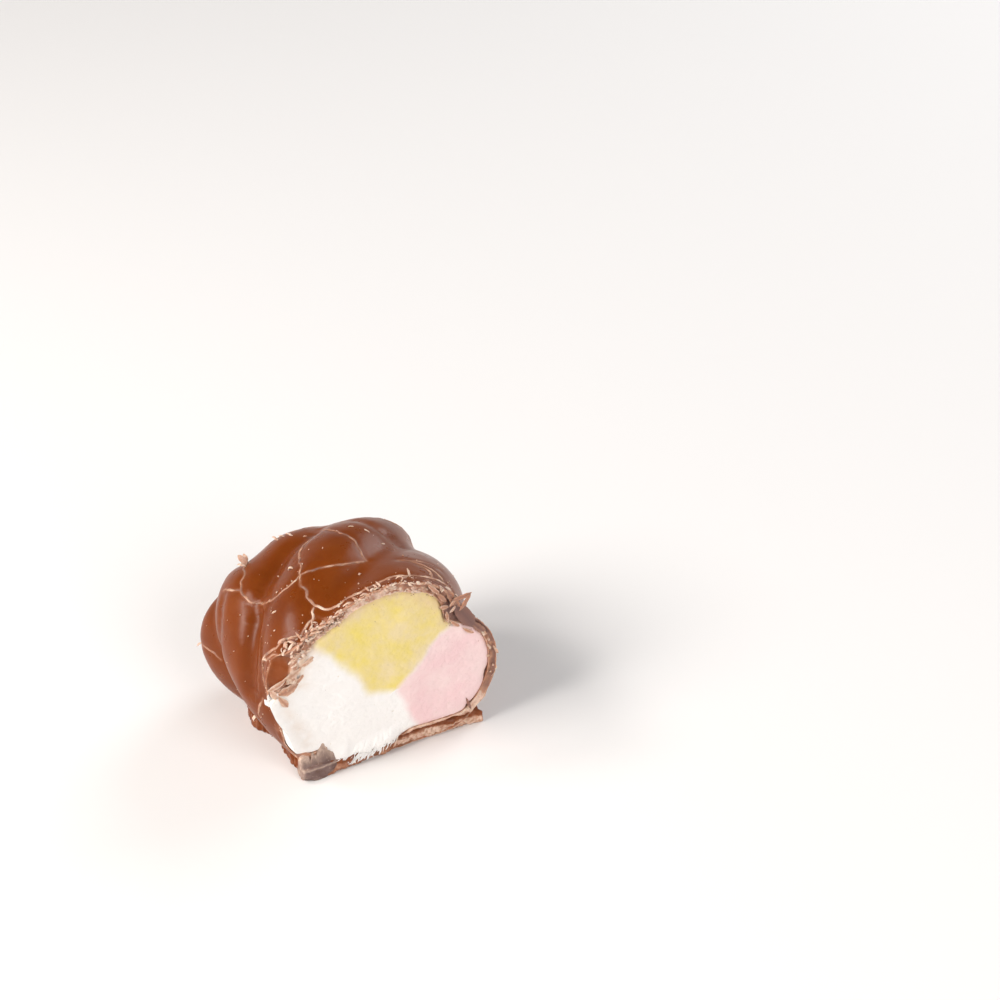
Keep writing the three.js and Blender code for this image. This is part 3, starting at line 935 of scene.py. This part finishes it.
def blend_weights(x, z):
    """(yellow, pink) shares of colour at places on the cut."""
    dx, dz = x - MEETING[0], z - MEETING[1]
    reach = np.hypot(dx, dz)
    direction = np.degrees(np.arctan2(dz, dx)) % 360
    points = np.stack([x, z, 0 * x], -1)
    wander = 0.30 * cloud(points, 2.2, 50, 3)

    def beyond(border, soft, shift=0.0):
        """0 before a border and 1 beyond it, with a soft change, counting anticlockwise."""
        off = np.radians(turn_between(direction, border))
        across = np.where(np.abs(off) < math.pi / 2, reach * np.sin(off), np.sign(off) * reach)
        return smooth_step(across - shift + wander * np.minimum(1, reach / 2), -soft, soft)

    along = reach * np.cos(np.radians(direction - YELLOW_WHITE))
    belly = 1.75 * bell(along - 2.7, 2.0) + 0.35 * bell(along - 6.5, 2.0)
    lower = 0.4 * bell(reach, 1.2)
    upper = (direction > PINK_YELLOW - 70) & (direction < YELLOW_WHITE + 80)
    yellow = beyond(PINK_YELLOW, 0.6, -lower) * (1 - beyond(YELLOW_WHITE, 0.8, belly)) * upper
    off_pink = turn_between(direction, (WHITE_PINK - 360 + PINK_YELLOW) / 2)
    pink = beyond(WHITE_PINK, 0.55) * (1 - beyond(PINK_YELLOW, 0.6)) * (np.abs(off_pink) < 100)
    return yellow, pink


# How far up the cut the smear begins, and how far it comes forward, in millimetres.
DRAPE_REACH = 2.6
DRAPE_FORWARD = 0.5
DRAPE_END = (0.2, 2.4)
# Heights over the ground of the foam's smeared lower edge, which hangs in front of the foot, across the cut.
FRINGE_X = (-5.5, -4.9, -3.9, -3.2, -2.1, -1.0, 0.5, 2.0)
FRINGE_Z = (1.1, 0.7, 0.7, 0.9, 1.02, 1.2, 1.5, 1.6)
# Rings of a strand behind its face: millimetres behind the cut, and how far it has settled into the twist.
STRAND_RINGS = (
    (0.35, 0.0), (0.9, 0.15), (1.6, 0.6), (2.6, 1.0), (5.0, 1.0), (8.0, 1.0), (11.0, 1.0), (14.0, 1.0),
    (16.4, 1.0), (17.6, 1.0))


class TWIST_OT_strands(bpy.types.Operator):
    """Make the yellow, pink and white marshmallow strands"""

    bl_idname = "twist.strands"
    bl_label = "Marshmallow Strands"

    def execute(self, context):
        rope = Rope(context.scene.twist_shape)
        colours = context.scene.twist_colours
        for name, first, last in (
                ("yellow", PINK_YELLOW, YELLOW_WHITE), ("pink", WHITE_PINK - 360, PINK_YELLOW),
                ("white", YELLOW_WHITE, WHITE_PINK)):
            self.make_strand(rope, colours, name, first, last)
        return {"FINISHED"}

    def make_strand(self, rope, colours, name, first, last):
        fine = 1.9
        around = int((last - first) * fine) + 1
        radial = int(62 * fine)
        theta = self.directions(rope, first, last, around)
        degrees = np.degrees(theta) % 360
        gap = 0.22 * bump(degrees, 343, 4) + 0.28 * bump(degrees, 324, 3)
        inset = face_inset(rope, degrees) + gap - 0.04
        rim = rope.point(theta, 0.0, inset, floor_height)
        tip = np.array([MEETING[0], CUT_Y, MEETING[1]])
        share = 1 - (1 - np.linspace(0, 1, radial + 1)[1:]) ** 1.15
        face = tip + (rim - tip)[None] * share[:, None, None]
        lip = between(degrees, *LIP_FOAM)
        to_rim = np.linalg.norm(rim - tip, axis=1)[None, :] * (1 - share[:, None])
        face[..., 1] += self.face_relief(face, to_rim, lip)
        self.drape(face, rim, to_rim)
        front_tip = tip + (0, self.face_relief(tip, 9.0, 0.0), 0)
        body = self.body(rope, theta, inset)
        x, z = self.tip_at(rope, STRAND_RINGS[-1][0])
        points = np.concatenate([[front_tip], face.reshape(-1, 3), *body, [(x, body[-1][-1][1], z)]])
        on_face = 1 + radial * around
        blend = self.blend(points, name, on_face)
        blend[1:on_face, 2] = self.stain(face, to_rim, degrees, lip).ravel()
        make_piece(
            "strand_" + name, points, self.faces(around, radial + len(body)),
            [marshmallow_material("marshmallow_" + name, colours)],
            ["marshmallow_" + name], attributes={"blend": blend})

    def directions(self, rope, first, last, around):
        """Angles about the rope's axis of the outline's points, seen evenly from where the strands meet."""
        angles = np.linspace(-math.pi, 3 * math.pi, 14401)
        outline = rope.point(angles, 0.0, face_inset(rope, np.degrees(angles) % 360), floor_height)
        seen = np.degrees(np.unwrap(np.arctan2(outline[:, 2] - MEETING[1], outline[:, 0] - MEETING[0])))
        seen -= 360 * np.round((seen[7200] - np.degrees(angles[7200])) / 360)
        return np.interp(np.linspace(first, last, around), seen, angles)

    def face_relief(self, places, to_rim, lip):
        """Unevenness of the cut along the rope: torn foam, soft at its edge except along the lip."""
        uneven = 0.13 * cloud(places, 3.2, 60, 2) + 0.05 * cloud(places, 0.8, 65, 3)
        rounding = 0.30 * np.exp(-(to_rim / 0.3) ** 1.5) * (1 - lip)
        proud = -0.35 * lip * bell(to_rim, 1.2)
        return uneven + rounding + proud - 0.08

    def drape(self, face, rim, to_rim):
        """The foam's lower edge, smeared forward over the front of the foot."""
        x = rim[:, 0]
        spread = between(x, -6.4, -5.4, *DRAPE_END) * (rim[:, 2] < DRAPE_REACH)
        down = np.clip(1 - to_rim / DRAPE_REACH, 0, 1)
        shape = np.stack([face[..., 0], face[..., 2], 0 * to_rim], -1)
        forward = smooth_step(down, 0.1, 0.7) * spread[None, :]
        face[..., 1] -= forward * (DRAPE_FORWARD + 0.08 * cloud(shape, 0.7, 61, 3))
        ragged = 0.16 * cloud(np.stack([x, 0 * x, 0 * x], -1), 0.3, 63, 2)
        hanging = rim[:, 2] - np.interp(x, FRINGE_X, FRINGE_Z) + ragged
        face[..., 2] -= down * (hanging * spread)[None, :]

    def body(self, rope, theta, inset):
        """Rings behind the face, which follow the rope's twist inside the coat."""
        rings = []
        for behind, settled in STRAND_RINGS:
            turn = -2 * math.pi * behind / rope.pitch
            depth = inset * (1 - settled) + (rope.coat + 0.1) * settled
            rings.append(rope.point(theta + turn * (settled == 1.0), behind, depth, floor_height))
        return rings

    def tip_at(self, rope, behind):
        """Where the strands meet at a distance behind the cut, across and up."""
        turn = -2 * math.pi * behind / rope.pitch
        x, z = MEETING[0], MEETING[1] - AXIS_Z
        across = x * math.cos(turn) - z * math.sin(turn)
        return across, AXIS_Z - AXIS_DROP + x * math.sin(turn) + z * math.cos(turn)

    def faces(self, around, rings):
        """Faces from the front tip over the face and the outside to the back tip. Inside it is open."""
        last = 1 + (rings - 1) * around
        faces = [[0, 2 + i, 1 + i] for i in range(around - 1)]
        faces += (ring_faces(rings, around, closed=False) + 1).tolist()
        return faces + [[last + around, last + i, last + i + 1] for i in range(around - 1)]

    def blend(self, points, name, on_face):
        """Shares of yellow and of pink: mixed near a border on the face, and plain behind it."""
        blend = np.zeros((len(points), 3))
        blend[:, 0], blend[:, 1] = blend_weights(points[:, 0], points[:, 2])
        blend[on_face:, :2] = {"yellow": (1, 0), "pink": (0, 1), "white": (0, 0)}[name]
        return blend

    def stain(self, face, to_rim, degrees, lip):
        """Where chocolate has smeared onto the foam beside the rim, and a faint beige band a little way in
        from the lip.
        """
        left = between(degrees, 112, 140, 168, 180)
        top = bump(degrees, 78, 42)
        reach = 0.35 + 0.7 * left + 0.7 * top + 0.6 * bump(degrees, 57, 12)
        streaky = 0.62 + 0.5 * cloud(face, 0.8, 70, 3)
        near = np.exp(-(to_rim / reach[None, :]) ** 1.3)
        strength = 0.4 + 0.5 * np.maximum(left, np.maximum(top, bump(degrees, 112, 30)))
        beige = 0.26 * lip[None, :] * bell(to_rim - 1.5, 0.9)
        return np.clip(near * streaky * strength[None, :] * (1 - lip[None, :]) + beige * streaky, 0, 1)


# Torn foam where the lip begins: x and z of the middle, length, width and turn from level in degrees.
TIP_TUFTS = (
    (-12.1, 10.7, 1.5, 0.5, 118), (-11.8, 10.5, 1.4, 0.5, 128), (-12.0, 11.3, 1.1, 0.35, 95),
    (-11.5, 10.2, 1.2, 0.5, 135),
)


class TWIST_OT_fibres(bpy.types.Operator):
    """Make the torn tufts of foam that hang over the lower edge of the cut"""

    bl_idname = "twist.fibres"
    bl_label = "Torn Fibres"

    def execute(self, context):
        random = np.random.default_rng(23)
        pile = Pile()
        for _ in range(context.scene.twist_shape.fibres):
            x = random.triangular(-5.3, -2.0, 2.6)
            z = np.interp(x, FRINGE_X, FRINGE_Z) + random.uniform(-0.1, 0.8)
            lean = random.normal(-0.6, 0.35)
            axes = axes_on_cut(math.sin(lean), -0.1, -math.cos(lean))
            length = random.uniform(0.35, 1.15)
            tuft, faces = curled_flake(
                random, length, random.uniform(0.07, 0.22), random.uniform(0.04, 0.09),
                random.uniform(0.2, 1.2))
            ahead = DRAPE_FORWARD * (1 - smooth_step(x, *DRAPE_END)) * (1 - 0.3 * max(0.0, z - 1.2))
            place = np.array([x, CUT_Y - ahead - random.uniform(0.0, 0.12), z])
            pile.add(placed(tuft, place + axes[0] * length * 0.3, axes), faces, 0.0)
        for x, z, length, width, turn in TIP_TUFTS:
            turn = math.radians(turn)
            tuft, faces = curled_flake(random, length, width, 0.18, 0.6)
            axes = axes_on_cut(math.cos(turn), -0.15, math.sin(turn))
            pile.add(placed(tuft, np.array([x, CUT_Y + 0.35, z]), axes), faces, 0.0)
        material = marshmallow_material("marshmallow_fibres", context.scene.twist_colours)
        pile.piece("torn_fibres", material, "marshmallow_white", ["marshmallow_white"])
        return {"FINISHED"}


# ---------------------------------------------------------------- shavings, flakes and crumbs

def curled_flake(random, length, width, thick, curl, twist=0.0):
    """A sliver of chocolate bent along its length, pointed at its ends, in its own frame: X along, Y up."""
    steps, across = 7, 2
    row = across + 1
    half = (steps + 1) * row
    radius = length / curl
    points = []
    for side in (1, -1):
        for a in np.linspace(-0.5, 0.5, steps + 1):
            bend, lean = a * curl, twist * a
            up = np.array([math.sin(bend), math.cos(bend), 0.0])
            spine = up * radius - (0.0, radius, 0.0)
            wide = width * (1 - abs(2 * a) ** 2.2 * 0.8) * random.uniform(0.75, 1.15)
            for j in range(row):
                s = j / across - 0.5
                t = side * thick / 2 * (1 - abs(2 * s) ** 2 * 0.6) * (1 - abs(2 * a) ** 2 * 0.5)
                shift = up * (t + math.sin(lean) * s * wide) + np.array([0, 0, math.cos(lean) * s * wide])
                points.append(spine + shift + random.normal(0, 0.012, 3))
    under = np.roll(ring_faces(steps + 1, row, closed=False), -1, 1)
    border = [(k * row, (k + 1) * row) for k in range(steps)]
    border += [(steps * row + j, steps * row + j + 1) for j in range(across)]
    border += [((k + 1) * row + across, k * row + across) for k in range(steps)]
    border += [(j + 1, j) for j in range(across)]
    rim = [[a, b, half + b, half + a] for a, b in border]
    return np.array(points), [*under[:, ::-1].tolist(), *(under + half).tolist(), *rim]


def crumb(random, size):
    """A small angular crumb."""
    corners = np.array([[1, 0, 0], [-1, 0, 0], [0, 1, 0], [0, -1, 0], [0, 0, 1], [0, 0, -1]], float)
    points = corners * random.uniform(0.5, 1.0, (6, 1)) * size
    points += random.normal(0, 0.15 * size, points.shape)
    faces = [[0, 2, 4], [2, 1, 4], [1, 3, 4], [3, 0, 4], [2, 0, 5], [1, 2, 5], [3, 1, 5], [0, 3, 5]]
    return points, faces


def placed(points, place, axes):
    """Points from a small frame, set down at a place with its three axes."""
    return place + points @ np.array(axes)


def axes_on_cut(*along):
    """Axes of a sliver that lies along a direction with its flat side towards the front."""
    along = unit(np.array(along))
    across = unit(np.cross(along, (0.0, -1.0, 0.0)))
    return along, np.cross(across, along), across


# Larger curls and shards: angle in degrees, millimetres behind the cut, length, width, curl in radians, turn
# against the rim in radians, and how steeply they stand up.
CURLS = (
    (141, 1.4, 1.5, 0.26, 2.6, 0.2, 0.5), (141, 0.9, 1.2, 0.3, 3.4, -0.5, 0.7),
    (139, 0.4, 1.3, 0.24, 2.2, 1.0, 0.6), (137, 0.7, 1.1, 0.22, 3.0, 0.4, 0.9),
    (135, 0.4, 1.4, 0.22, 1.8, 1.5, 0.5), (134, 0.1, 1.0, 0.26, 2.4, 0.1, 0.3),
    (131, 0.3, 1.2, 0.24, 2.2, -0.6, 0.4), (127, 0.2, 1.6, 0.26, 4.4, 0.3, 0.5),
    (122, 0.3, 1.1, 0.24, 2.6, 0.1, 0.3), (117, 0.1, 1.2, 0.26, 1.6, 0.2, 0.2),
    (112, 0.2, 1.0, 0.3, 1.2, 0.0, 0.2), (106, 0.3, 1.1, 0.28, 1.0, 0.1, 0.2),
    (102, 0.3, 0.8, 0.22, 0.8, 1.2, 0.3), (97, 0.2, 1.0, 0.28, 1.4, 0.1, 0.2),
    (94, 0.8, 0.8, 0.2, 0.6, 1.4, 0.3), (77, 0.5, 1.6, 0.3, 4.6, 0.1, 0.9),
    (71, 1.5, 1.0, 0.28, 0.5, 1.3, 0.8), (88, 0.9, 0.9, 0.2, 0.9, 1.4, 0.3),
    (90, 0.6, 0.8, 0.18, 0.7, 1.2, 0.3), (34, 0.2, 1.5, 0.4, 1.0, 0.2, 0.8),
    (42, 0.2, 1.3, 0.45, 1.4, -0.2, 0.4), (48, 0.3, 1.4, 0.45, 1.8, 0.3, 0.3),
    (135, 5.0, 0.6, 0.22, 0.8, 0.4, 0.2), (115, 8.8, 1.1, 0.25, 4.2, 0.5, 0.4),
    (97, 14.2, 0.4, 0.2, 0.6, 0.3, 0.2), (79, 11.6, 0.6, 0.22, 0.6, 0.3, 0.1),
    (73, 10.6, 0.7, 0.18, 0.5, 0.9, 0.1), (66, 9.1, 0.7, 0.18, 0.5, -0.2, 0.1),
    (127, 15.4, 1.4, 0.7, 0.7, 1.1, 1.2), (125, 15.9, 1.2, 0.6, 0.6, 1.9, 1.0),
    (129, 15.0, 1.0, 0.5, 1.1, 0.6, 0.6), (108, 16.0, 0.9, 0.3, 0.8, 1.0, 0.8),
    (105, 16.0, 0.7, 0.3, 1.0, 0.4, 0.6), (102, 15.7, 1.0, 0.25, 0.8, 0.9, 0.3),
    (194, 17.2, 0.8, 0.25, 0.7, 0.2, 0.9), (205, 5.8, 1.4, 0.35, 2.8, 0.4, 0.7),
)
# Flakes pressed against the cut: x and z of the middle, how far in front of the cut, length, width, turn from
# level in degrees, curl in radians, and shades of the middle and of the edge.
LEAVES = (
    (-9.9, 12.1, 0.15, 2.6, 1.1, 21, 0.8, 0.35, 0.85), (-10.7, 10.8, 0.3, 1.9, 0.7, -61, 0.7, 0.45, 0.9),
    (-11.6, 11.9, 0.15, 1.6, 0.6, -65, 0.9, 0.7, 1.0), (-11.2, 13.0, 0.15, 2.2, 0.7, 23, 0.5, 0.6, 0.95),
    (-9.5, 13.8, 0.15, 2.3, 0.7, 25, 0.6, 0.6, 0.95), (-7.7, 14.9, 0.12, 2.6, 0.6, 34, 0.7, 0.65, 0.95),
    (-8.9, 12.9, 0.12, 1.6, 0.5, 40, 0.7, 0.4, 0.9), (9.4, 14.6, 0.12, 3.9, 1.7, -59, 0.3, 0.0, 0.1),
    (10.9, 12.6, 0.05, 2.6, 0.8, -52, 0.4, 0.05, 0.3), (7.9, 17.4, 0.15, 2.4, 0.8, -68, 0.5, 0.2, 0.5),
    (8.2, 14.1, 0.25, 1.6, 0.4, -47, 1.0, 0.5, 0.8), (9.7, 12.7, 0.25, 1.7, 0.4, -40, 0.8, 0.5, 0.9),
    (7.3, 15.4, 0.2, 1.1, 0.35, -85, 0.8, 0.5, 0.8), (8.9, 17.5, 0.5, 2.2, 0.55, 7, 0.4, 0.25, 0.5),
    (9.2, 16.7, 0.5, 2.2, 0.5, 55, 0.3, 0.3, 0.55), (7.9, 17.1, 0.4, 1.3, 0.4, 57, 0.5, 0.5, 0.8),
    (7.0, 16.6, 0.2, 1.0, 0.5, -10, 0.5, 0.4, 0.8), (7.9, 16.1, 0.3, 0.9, 0.35, 45, 0.5, 0.7, 0.9),
    (5.9, 19.2, 0.3, 1.8, 0.5, -50, 0.6, 0.4, 0.8), (6.8, 17.8, 0.2, 1.6, 0.5, -54, 0.6, 0.3, 0.7),
    (9.6, 3.2, 0.3, 1.8, 0.3, -72, 0.4, 0.1, 0.2), (1.9, 1.1, 0.3, 2.0, 0.35, -3, 0.6, 0.7, 1.0),
    (1.2, 1.2, 0.4, 1.3, 0.2, 64, 0.6, 0.8, 1.0),
)
# Small crumbs that lie on the coat: angle in degrees and millimetres behind the cut.
DOTS = (
    (136, 5.6), (134, 7.3), (138, 8.7), (142, 4.6), (141, 3.2), (157, 7.5), (144, 3.2), (130, 0.9),
    (122, 10.1), (110, 8.2), (128, 7.1), (125, 6.9), (122, 6.6), (119, 6.7), (150, 9.5), (168, 8.0),
    (98, 9.0), (90, 4.4), (62, 6.2),
)


# Specks on the foam, and how many of them lie together.
SPECK_COUNT, SPECKS_GATHERED = 130, 110
# Crumbs along the left edge of the foot: distances behind the cut, and where the edge is there across it.
LITTER_COUNT = 60
LITTER_BEHIND = (0, 1.0, 2.6, 4.6, 6.4, 8.4, 9.8)
LITTER_X = (-9.4, -8.9, -8.7, -9.0, -8.9, -9.5, -10.3)


class TWIST_OT_shavings(bpy.types.Operator):
    """Scatter curled shavings along the rim, larger curls where the knife left them, and crumbs"""

    bl_idname = "twist.shavings"
    bl_label = "Shavings and Crumbs"

    def execute(self, context):
        shape = context.scene.twist_shape
        rope = Rope(shape)
        random = np.random.default_rng(17)
        pile = Pile()
        for _ in range(shape.shavings):
            self.add_shaving(rope, random, pile)
        for curl in CURLS:
            self.add_curl(rope, random, pile, *curl)
        for leaf in LEAVES:
            self.add_leaf(random, pile, *leaf)
        self.add_specks(rope, random, pile)
        self.add_litter(random, pile)
        for degrees, behind in DOTS:
            self.set_crumb(rope, random, pile, degrees, behind, random.uniform(0.1, 0.17))
        for _ in range(shape.crumbs):
            self.add_crumb(rope, random, pile)
        material = broken_material(context.scene.twist_colours)
        pile.piece("shavings", material, "chocolate", ["chocolate_coat"])
        return {"FINISHED"}

    def spot(self, rope, degrees, behind, depth=0.0):
        """A place on the coat and the directions around it, outwards and along the rope."""
        return rope.basis(math.radians(degrees), max(behind, 0.0), depth)

    def lay(self, random, pile, place, ring, out, length_way, yaw, tilt, size, shade):
        along = ring * math.cos(yaw) + length_way * math.sin(yaw)
        across = np.cross(along, out)
        up = out * math.cos(tilt) + across * math.sin(tilt)
        across = np.cross(along, up)
        flake, faces = curled_flake(random, *size)
        pile.add(placed(flake, place, (along, up, across)), faces, shade)

    def add_shaving(self, rope, random, pile):
        """One of the many: on the outside just behind the rim, or on the broken edge itself."""
        degrees = random.triangular(28, 112, 172) if random.random() < 0.88 else random.uniform(-40, 30)
        start, bent = rim_place(np.array([degrees]))[0], folded(degrees)
        length = min(0.25 + random.exponential(0.35), 1.5)
        size = (
            length, random.uniform(0.12, 0.36), random.uniform(0.05, 0.1), random.uniform(0.3, 2.2),
            random.normal(0, 0.5))
        if random.random() < 0.45 * (1 - bent):
            behind = start + abs(random.normal(0, 0.4))
            place, ring, out, length_way = self.spot(rope, degrees, behind)
            place = place + out * random.uniform(-0.05, 0.1)
        else:
            if abs(degrees - 97) < 12 and random.random() < 0.7:
                return
            depth = face_inset(rope, degrees) * random.uniform(0.62 * bent, 1.05)
            place, ring, _, _ = self.spot(rope, degrees, 0.0, depth)
            place = place + np.array([0, start - FOLD_REACH * bent - random.uniform(-0.1, 0.12), 0])
            out = np.array([0.0, -1.0, 0.0])
            length_way = np.cross(ring, out)
        self.lay(
            random, pile, place, ring, out, length_way, random.normal(0, 0.55), random.normal(0, 0.35), size,
            random.uniform(0.6, 1.15))

    def add_curl(self, rope, random, pile, degrees, behind, length, width, curl, yaw, stand):
        place, ring, out, length_way = self.spot(rope, degrees, behind)
        along = ring * math.cos(yaw) + length_way * math.sin(yaw)
        lifted = along * math.cos(stand) + out * math.sin(stand)
        up = out * math.cos(stand) - along * math.sin(stand)
        across = np.cross(lifted, up)
        flake, faces = curled_flake(random, length, width, 0.13, curl, random.normal(0, 0.4))
        rise = 0.5 * length * math.sin(stand) * 0.7 + 0.05
        pile.add(placed(flake, place + out * rise, (lifted, up, across)), faces, random.uniform(0.55, 1.0))

    def add_leaf(self, random, pile, x, z, ahead, length, width, turn, curl, middle, edge):
        turn = math.radians(turn)
        along = np.array([math.cos(turn), 0.0, math.sin(turn)])
        up = np.array([0.0, -1.0, 0.0])
        flake, faces = curled_flake(random, length, width, 0.12, curl, random.normal(0, 0.25))
        shades = np.tile((edge, middle, edge), len(flake) // 3)
        place = np.array([x, CUT_Y - ahead, z])
        pile.add(placed(flake, place, (along, up, np.cross(along, up))), faces, shades)

    def add_specks(self, rope, random, pile):
        """Dark specks on the foam, most of them at the upper right."""
        for k in range(SPECK_COUNT):
            gathered = k < SPECKS_GATHERED
            degrees = random.normal(58, 14) if gathered else random.uniform(0, 180)
            depth = face_inset(rope, degrees) + abs(random.normal(0, 1.0 if gathered else 3.0))
            place = rope.point(math.radians(degrees), 0.0, depth) + (0, 0.02, 0)
            points, faces = crumb(random, random.uniform(0.035, 0.085))
            pile.add(place + points, faces, random.uniform(0.0, 0.7))

    def add_litter(self, random, pile):
        """Crumbs caught along the left edge of the foot."""
        for _ in range(LITTER_COUNT):
            behind = random.uniform(0.4, 9.5)
            x = np.interp(behind, LITTER_BEHIND, LITTER_X)
            points, faces = crumb(random, random.uniform(0.08, 0.26))
            place = np.array([x - abs(random.normal(0, 0.15)), CUT_Y + behind, random.uniform(0.1, 1.2)])
            pile.add(place + points, faces, random.uniform(0.0, 0.8))

    def add_crumb(self, rope, random, pile):
        degrees = random.uniform(20, 200)
        behind = 0.3 + random.exponential(4.5) if random.random() < 0.5 else abs(random.normal(0, 0.7))
        if behind > 18:
            return
        behind = max(behind, rim_place(np.array([degrees]))[0] + 0.1)
        self.set_crumb(rope, random, pile, degrees, behind, random.uniform(0.05, 0.12))

    def set_crumb(self, rope, random, pile, degrees, behind, size):
        _, ring, out, length_way = self.spot(rope, degrees, behind)
        place = coat_surface(rope, np.radians([degrees]), np.array([behind]))[0][0]
        points, faces = crumb(random, size)
        points = placed(points, place + out * 0.3 * size, (ring, out, length_way))
        pile.add(points, faces, random.uniform(0.6, 1.0))


# ---------------------------------------------------------------- the stage

FLOOR_REACH = 2.0
SURROUND_TINT = (1.0, 0.99, 0.98, 1.0)
# Lights, in metres: place, size, which power, the share of it, and tint.
LIGHTS = {
    "key": ((-0.35, -0.02, 0.27), 0.22, "key_power", 0.83, (1.0, 0.965, 0.93)),
    "shine": ((-0.28, 0.15, 0.31), 0.11, "key_power", 0.25, (1.0, 0.965, 0.93)),
    "right_fill": ((0.36, 0.13, 0.23), 0.30, "fill_power", 1.0, (0.94, 0.97, 1.0)),
    "front_fill": ((0.08, -0.36, 0.26), 0.26, "fill_power", 0.92, (1.0, 1.0, 1.0)),
}


class TWIST_OT_stage(bpy.types.Operator):
    """Set up the floor, the lights, the white surround and the camera"""

    bl_idname = "twist.stage"
    bl_label = "Stage"

    def execute(self, context):
        stage = context.scene.twist_stage
        self.make_floor(stage)
        self.make_surround(context.scene, stage)
        self.make_lights(context.scene, stage)
        self.make_camera(context.scene, stage)
        context.scene.view_settings.view_transform = "Standard"
        context.scene.view_settings.look = "None"
        return {"FINISHED"}

    def make_floor(self, stage):
        reach = FLOOR_REACH
        mesh = bpy.data.meshes.new("floor")
        corners = [(-reach, -reach, 0), (reach, -reach, 0), (reach, reach, 0), (-reach, reach, 0)]
        mesh.from_pydata(corners, [], [(0, 1, 2, 3)])
        mesh.materials.append(floor_material(stage))
        floor = bpy.data.objects.new("floor", mesh)
        bpy.context.scene.collection.objects.link(floor)

    def make_surround(self, scene, stage):
        world = bpy.data.worlds.new("white_studio")
        world.use_nodes = True
        tree = world.node_tree
        background = tree.nodes["Background"]
        place = tree.nodes.new("ShaderNodeTexCoord")
        parts = tree.nodes.new("ShaderNodeSeparateXYZ")
        tree.links.new(place.outputs["Generated"], parts.inputs["Vector"])
        overhead = range_node(tree, parts.outputs["Z"], 0.0, 0.6, 1.0, stage.ceiling)
        strength = multiply_node(tree, overhead, stage.surround)
        tree.links.new(strength, background.inputs["Strength"])
        set_plain(background, {"Color": SURROUND_TINT})
        scene.world = world

    def make_lights(self, scene, stage):
        for name, (place, size, power, share, tint) in LIGHTS.items():
            light = bpy.data.lights.new(name, "AREA")
            light.shape = "DISK"
            light.size = size
            light.energy = share * getattr(stage, power)
            light.color = tint
            lamp = bpy.data.objects.new(name, light)
            lamp.location = place
            lamp.rotation_mode = "QUATERNION"
            lamp.rotation_quaternion = (-Vector(place)).to_track_quat("-Z", "Y")
            scene.collection.objects.link(lamp)

    def make_camera(self, scene, stage):
        data = bpy.data.cameras.new("camera")
        data.lens = stage.lens
        data.sensor_width = 36.0
        data.clip_start, data.clip_end = 0.01, 10.0
        camera = bpy.data.objects.new("camera", data)
        a, e = stage.azimuth, stage.elevation
        back = Vector((math.sin(a) * math.cos(e), -math.cos(a) * math.cos(e), math.sin(e)))
        right = Vector((math.cos(a), math.sin(a), 0.0))
        up = back.cross(right)
        turn = Matrix((right, up, back)).transposed()
        place = Vector(stage.camera_place) + Vector((0, CUT_Y * MM, 0))
        camera.matrix_world = Matrix.Translation(place) @ turn.to_4x4()
        scene.collection.objects.link(camera)
        scene.camera = camera


# ---------------------------------------------------------------- panel and registration

MAKERS = (
    TWIST_OT_coat, TWIST_OT_seams, TWIST_OT_foot, TWIST_OT_strands, TWIST_OT_fibres, TWIST_OT_shavings,
    TWIST_OT_stage)


class TWIST_PT_panel(bpy.types.Panel):
    """Sizes, colours and makers of the coated marshmallow twist"""

    bl_idname = "TWIST_PT_panel"
    bl_label = "Marshmallow Twist"
    bl_space_type = "VIEW_3D"
    bl_region_type = "UI"
    bl_category = "Sweets"

    def draw(self, context):
        for name, _ in SETTINGS:
            group = getattr(context.scene, name)
            box = self.layout.box()
            for key in group.__annotations__:
                box.prop(group, key)
        for maker in MAKERS:
            self.layout.operator(maker.bl_idname)


SETTINGS = (
    ("twist_shape", TwistShapeSettings), ("twist_colours", TwistColourSettings),
    ("twist_stage", TwistStageSettings))


def register():
    for name, group in SETTINGS:
        bpy.utils.register_class(group)
        setattr(bpy.types.Scene, name, PointerProperty(type=group))
    for cls in (*MAKERS, TWIST_PT_panel):
        bpy.utils.register_class(cls)


def unregister():
    for cls in (TWIST_PT_panel, *reversed(MAKERS)):
        bpy.utils.unregister_class(cls)
    for name, group in reversed(SETTINGS):
        delattr(bpy.types.Scene, name)
        bpy.utils.unregister_class(group)


def main():
    register()
    bpy.ops.twist.stage()
    bpy.ops.twist.coat()
    bpy.ops.twist.seams()
    bpy.ops.twist.foot()
    bpy.ops.twist.strands()
    bpy.ops.twist.fibres()
    bpy.ops.twist.shavings()


if __name__ == "__main__":
    main()
